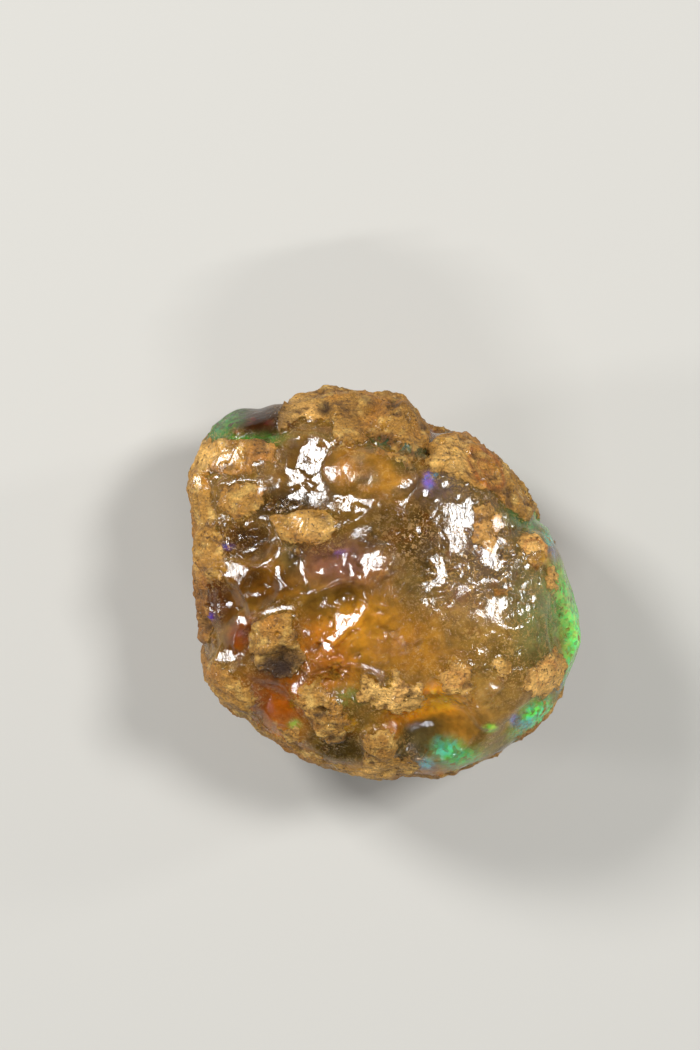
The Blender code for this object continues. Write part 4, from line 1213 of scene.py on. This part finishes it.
@dataclass(frozen=True)
class HoneyOpal:
    """Hydrophane opal in sandy rhyolite: glassy honey body, matt crust, wet all over.

    Opal's refraction is 1.45, low for a gem, so the polish looks watery rather than brilliant,
    and the amber depth comes from absorption. The rock is sand cemented by rust, which gives
    the eye a dry ochre grain of about half a millimetre; shade is painted into its crevices.
    """

    name: str = "honey opal in sandy host rock"
    # Colour of the painted shade in the crust's crevices.
    crust_crevice_shade: str = "#6E4A1C"
    crust_mid: str = "#AA7A30"
    crust_light: str = "#CCA254"
    crust_ochre: str = "#A66C22"
    crust_pale: str = "#EEBA66"
    crust_speck: str = "#4A2E10"
    rust: str = "#9C561E"
    fleck: str = "#C49A56"
    mottle: str = "#7C4208"
    # Colour of the painted shade in pits and hollows, also a darker real tone in a few other places.
    hollow: str = "#260F00"
    clear_share: float = 0.6
    cloudy_share: float = 0.22
    side_clear_share: float = 0.35
    body_roughness: float = 0.06
    crust_roughness: float = 0.65
    side_roughness: float = 0.3
    film: float = 0.15
    film_roughness: float = 0.03
    film_refraction: float = 1.33
    glow: float = 0.6
    glow_reach: float = 2.2
    glow_colours: tuple[float, float, float] = (1.0, 0.6, 0.25)
    refraction: float = 1.45
    absorption_colour: str = "#F0B050"
    # Per metre of depth.
    absorption_density: float = 40.0
    relief: float = 0.26
    edge_break: float = 1.1
    # A grade is the pair of values between which crust or fire begins.
    edge_grade: tuple[float, float] = (0.38, 0.58)
    rust_share: float = 0.5
    ring_share: float = 0.85
    fire_domain: float = 0.5
    domain_break: float = 0.25
    fire_grade: tuple[float, float] = (0.22, 0.66)
    # Brightness of the dimmest and of the brightest domain.
    fire_light: tuple[float, float] = (0.7, 1.2)
    fire_saturation: float = 0.92
    fire_cover: float = 0.8
    chip_dullness: float = 0.05
    crinkle_height: float = 0.6
    # Shares of their full height inside a chip, and outside it.
    crinkle_by_polish: tuple[float, float] = (0.3, 1.1)
    fleck_heights: tuple[float, float] = (0.03, 0.35)
    wave_height: float = 0.12
    vein_width: float = 0.03
    vein_depth: float = 0.16
    patterns: tuple[Pattern, ...] = each(
        Pattern,
        ("crust edge", 0.55, 5), ("sand", 1.6, 9, 0, (0.48, 0.66)),
        ("ochre", 4.5, 3, 0, (0.5, 0.68, 0, 0.8)), ("rust", 0.8, 6, 0, (0.3, 0.55, 0.45, 1)),
        # The crevice noise breaks up the painted shade in the crust's crevices.
        ("crevice", 0.7, 5, 0, (0.3, 0.6, 0.35, 0.95)),
        ("fibres", 1.8, 6, 0.8, (0.34, 0.66, 0.8, 1.2), ((0.5, 0.3, 0.9), (1, 4, 2))),
        ("grain", 0.28, 5, 0, (0.32, 0.68, 0.8, 1.22)), ("specks", 0.42, 2, 0, (0.63, 0.68, 0, 0.75)),
        ("clouds", 3.2, 4, 1, (0.3, 0.7, 0.76, 1.3)), ("wisps", 0.9, 5, 0.3, (0.3, 0.7, 0.8, 1.22)),
        ("mottles", 1.5, 6, 0.6, (0.52, 0.66, 0, 0.45)),
        ("drifts", 2.6, 4, 0, (0.32, 0.58, 0.225, 0.7125)),
        ("fine flecks", 0.22, 3, 0, (0.53, 0.64)), ("flecks", 0.5, 4, 0, (0.575, 0.63)),
        ("broken fire", 0.9, 4, 0.8), ("hue", 0.7, 3, 0, (0.3, 0.7, 0.46, 0.54)),
        ("matt", 1.7, 5, 0, (0.5, 0.75, 0, 0.05)), ("wet crust", 1, 3, 0, (0.58, 0.68, 1, 0.35)),
        ("grit", 0.5, 6), ("fine grit", 0.22, 3), ("waves", 0.9, 3, 0.6), ("crinkle", 0.42, 3, 0.4),
        ("crinkled", 2.2, 2, 0, (0.42, 0.6, 0.05, 0.16)),
        ("streaks", 0.5, 3, 0.6, (), ((0, 0, 0.5), (1, 0.28, 1))))

    def material(self) -> bpy.types.Material:
        """Build the node tree: body, flecks, fire, crust and painted shade in hollows, laid over one
        another.

        Returns:
            The material.
        """
        material = bpy.data.materials.new(self.name)
        material.use_nodes = True
        tree = material.node_tree
        tree.nodes.clear()
        add = partial(add_node, tree)
        place = add(PLACE)
        look = {pattern.name: pattern.add(tree, place) for pattern in self.patterns}
        tint, fire_colour = add(COLOUR, "tint"), add(COLOUR, "fire")
        names = ("fire_strength", "crust", "rust", "dark", "flecks", "clear", "crevice", "polish",
                 "side", "rings", "pale")
        painted = {name: add(SHARE, name) for name in names}

        # Crust: its painted cover with an edge broken up by grain, sandy, with painted shade in its
        # crevices.
        broken_edge = add(TIMES, add(LESS, look["crust edge"], 0.5), self.edge_break)
        crust = add(GRADE, add(PLUS, painted["crust"], broken_edge), *self.edge_grade)
        rock = add(OVER, self.crust_mid, self.crust_light, look["sand"])
        rock = add(OVER, rock, self.crust_ochre, look["ochre"])
        rock = add(OVER, rock, self.crust_pale, painted["pale"])
        rings = add(TIMES, painted["rings"], self.ring_share)
        rusty = add(LARGER, add(TIMES, painted["rust"], self.rust_share), rings)
        rock = add(OVER, rock, self.rust, add(TIMES, rusty, look["rust"]))
        # Painted shade in the crevices, broken up by noise.
        shadow = add(TIMES, painted["crevice"], look["crevice"])
        rock = add(OVER, rock, self.crust_crevice_shade, shadow)
        rock = add(SHADE, rock, add(TIMES, look["grain"], look["fibres"]))
        rock = add(OVER, rock, self.crust_speck, look["specks"])

        # Body: painted tint, cloudy and mottled inside.
        body = add(SHADE, tint, add(TIMES, look["clouds"], look["wisps"]))
        body = add(OVER, body, self.mottle, add(TIMES, look["mottles"], painted["flecks"]))

        # Flecks: tiny grains of sand in the top of the opal, in drifts.
        drifts = add(TIMES, look["drifts"], painted["flecks"])
        flecks = add(TIMES, add(LARGER, look["fine flecks"], look["flecks"]), drifts)

        # Fire: painted flashes broken into small domains, each of its own brightness.
        domain = add(GREEN, add(CELLS, place, per_metre(self.fire_domain)))
        broken = add(PLUS, add(TIMES, domain, self.domain_break), look["broken fire"])
        fire = add(TIMES, painted["fire_strength"], add(GRADE, broken, *self.fire_grade))
        light = add(GRADE, domain, 0.0, 1.0, *self.fire_light)
        flash = add(HUE, fire_colour, look["hue"], self.fire_saturation, light)
        body = add(OVER, body, flash, fire)
        body = add(OVER, body, self.fleck, flecks)
        # Painted shade in pits and hollows, and a darker real tone in a few places, laid over all.
        colour = add(OVER, add(OVER, body, rock, crust), self.hollow, painted["dark"])

        # Clear where it is neither crust, fire, fleck nor painted shade, and most in the windows.
        glassy = add(LESS, 1.0, crust)
        clear = add(GRADE, painted["clear"], 0.0, 1.0, self.cloudy_share, self.clear_share)
        side_clear = add(GRADE, painted["side"], 0.0, 1.0, 0.0, self.side_clear_share)
        clear = add(TIMES, add(LARGER, clear, side_clear), glassy)
        for cover in (add(TIMES, fire, self.fire_cover), flecks, painted["dark"]):
            clear = add(TIMES, clear, add(LESS, 1.0, cover))

        # Gloss: the crust is matt but for wet patches and chips, the glass wet but for flaws.
        unpolished = add(LESS, 1.0, painted["polish"])
        dull = add(TIMES, crust, add(GRADE, unpolished, 0.0, 1.0, self.chip_dullness, 1.0))
        dull = add(TIMES, dull, look["wet crust"])
        rough = add(TIMES, dull, self.crust_roughness - self.body_roughness)
        rough = add(PLUS, rough, self.body_roughness)
        side_rough = add(TIMES, painted["side"], self.side_roughness)
        flaws = add(PLUS, add(TIMES, look["matt"], unpolished), side_rough)
        rough = add(PLUS, rough, add(TIMES, glassy, flaws))
        film = add(GRADE, painted["side"], 0.0, 1.0, self.film, 0.0)

        # Relief: grit on the crust; on the glass waves, crinkles, and veins inside the chips.
        grit = add(TIMES, dull, add(PLUS, look["grit"], look["fine grit"]))
        crinkle = add(PLUS, add(TIMES, look["crinkle"], self.crinkle_height), look["streaks"])
        crinkle = add(TIMES, crinkle, look["crinkled"])
        crinkle = add(TIMES, crinkle, add(GRADE, unpolished, 0.0, 0.8, *self.crinkle_by_polish))
        glass = add(PLUS, add(TIMES, look["waves"], self.wave_height), crinkle)
        glass = add(TIMES, glassy, glass)
        vein_gap = add(SIZE, add(LESS, look["streaks"], 0.5))
        veins = add(GRADE, vein_gap, 0.0, self.vein_width, self.vein_depth, 0.0)
        veins = add(TIMES, veins, painted["polish"])
        glass = add(LESS, glass, veins)
        raised = add(TIMES, flecks, add(GRADE, unpolished, 0.0, 1.0, *self.fleck_heights))
        height = add(PLUS, grit, add(PLUS, glass, raised))

        shader = add(SHADER, **{
            "Base Color": colour, "Roughness": rough, "IOR": self.refraction,
            "Transmission Weight": clear, "Coat Weight": film, "Coat IOR": self.film_refraction,
            "Coat Roughness": self.film_roughness, "Subsurface Scale": self.glow_reach * MM,
            "Subsurface Weight": add(TIMES, glassy, self.glow),
            "Subsurface Radius": self.glow_colours,
            "Normal": add(BUMP, height, 1.0, self.relief * MM)})
        add(RESULT, shader, add(DEPTH, self.absorption_colour, self.absorption_density))
        return material


@dataclass
class RoughOpal:
    """The stone: its form, what is painted on it, and its finish."""

    shape: StoneShape = field(default_factory=StoneShape)
    paint: StonePaint = field(default_factory=StonePaint)
    finish: HoneyOpal = field(default_factory=HoneyOpal)

    def build(self) -> bpy.types.Object:
        """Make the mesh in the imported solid's box and dress it.

        Returns:
            The stone's object, linked to the scene.
        """
        rays, quads = self.shape.directions()
        points, ground = self.shape.surface(rays)
        mesh = bpy.data.meshes.new(PIECE)
        mesh.from_pydata(fit_to_box(points, *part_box(NODE)), [], quads)
        mesh.polygons.foreach_set("use_smooth", np.ones(len(mesh.polygons), dtype=bool))
        mesh.update()
        for name, value in self.paint.values(points, ground).items():
            kind, key = ("FLOAT_COLOR", "color") if value.ndim == 2 else ("FLOAT", "value")
            mesh.attributes.new(name, kind, "POINT").data.foreach_set(key, value.ravel())
        mesh.materials.append(self.finish.material())
        stone = bpy.data.objects.new(PIECE, mesh)
        bpy.context.scene.collection.objects.link(stone)
        LOG.info("%s: %d points, %d faces", PIECE, len(mesh.vertices), len(mesh.polygons))
        return stone


@dataclass
class Studio:
    """Pale floor, a faint even light, six soft lamps, and the camera looking down."""

    floor_colour: str = "#C2C0BA"
    # Half the floor's side, and the nearest that the camera sees, in metres.
    floor_half: float = 1.2
    nearest_seen: float = 0.01
    floor_roughness: float = 0.9
    air_colour: str = "#E8ECF0"
    air_strength: float = 0.09
    lamps: tuple[Lamp, ...] = (LEFT, RIGHT, LOW_LEFT, LOW_RIGHT, NEAR, BELOW)

    def build(self) -> None:
        """Make the floor, the lights, the world's light and the camera."""
        self.floor()
        for lamp in self.lamps:
            self.light(lamp)
        world = bpy.data.worlds.new("studio air")
        bpy.context.scene.world = world
        world.use_nodes = True
        air = world.node_tree.nodes["Background"].inputs
        air["Color"].default_value = linear(self.air_colour)
        air["Strength"].default_value = self.air_strength
        self.camera()
        bpy.context.scene.view_settings.view_transform = "Standard"
        LOG.info("studio: %d lamps", len(self.lamps))

    def place(self, name: str, data: Any) -> bpy.types.Object:
        """Put an object with this data in the scene.

        Args:
            name: the object's name.
            data: its mesh, light or camera.

        Returns:
            The new object.
        """
        placed = bpy.data.objects.new(name, data)
        bpy.context.scene.collection.objects.link(placed)
        return placed

    def floor(self) -> None:
        """A matt pale plane that the stone lies on."""
        half = self.floor_half
        mesh = bpy.data.meshes.new("floor")
        mesh.from_pydata([(-half, -half, 0), (half, -half, 0), (half, half, 0), (-half, half, 0)],
                         [], [(0, 1, 2, 3)])
        material = bpy.data.materials.new("matt pale board")
        material.use_nodes = True
        board = material.node_tree.nodes["Principled BSDF"].inputs
        board["Base Color"].default_value = linear(self.floor_colour)
        board["Roughness"].default_value = self.floor_roughness
        mesh.materials.append(material)
        self.place("floor", mesh)

    def light(self, lamp: Lamp) -> None:
        """Hang a soft rectangular light, aimed at the stone.

        Args:
            lamp: its place, sides and power.
        """
        data = bpy.data.lights.new(lamp.name, "AREA")
        data.shape = "RECTANGLE"
        data.size, data.size_y = lamp.width, lamp.height
        data.energy = lamp.power
        holder = self.place(lamp.name, data)
        away = np.array(lamp.place) - np.array([0.0, 0.0, RIM_HEIGHT * MM])
        level = math.atan2(away[1], away[0])
        holder.location = lamp.place
        holder.rotation_euler = (math.acos(away[2] / np.linalg.norm(away)), 0.0, level + math.pi / 2.0)

    def camera(self) -> None:
        """A camera straight above, placed so that the stone lies right of and below its centre."""
        data = bpy.data.cameras.new("camera")
        data.lens = LENS_MM
        data.sensor_width = SENSOR_MM
        data.clip_start = self.nearest_seen
        eye = self.place("camera", data)
        eye.location = [value * MM for value in EYE]
        bpy.context.scene.camera = eye


def main() -> None:
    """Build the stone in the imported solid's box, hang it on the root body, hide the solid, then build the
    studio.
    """
    logging.basicConfig(level=logging.INFO, format="%(message)s")
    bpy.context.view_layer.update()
    stone = RoughOpal().build()
    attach(stone, "root")
    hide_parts(NODE)
    Studio().build()


if __name__ == "__main__":
    main()
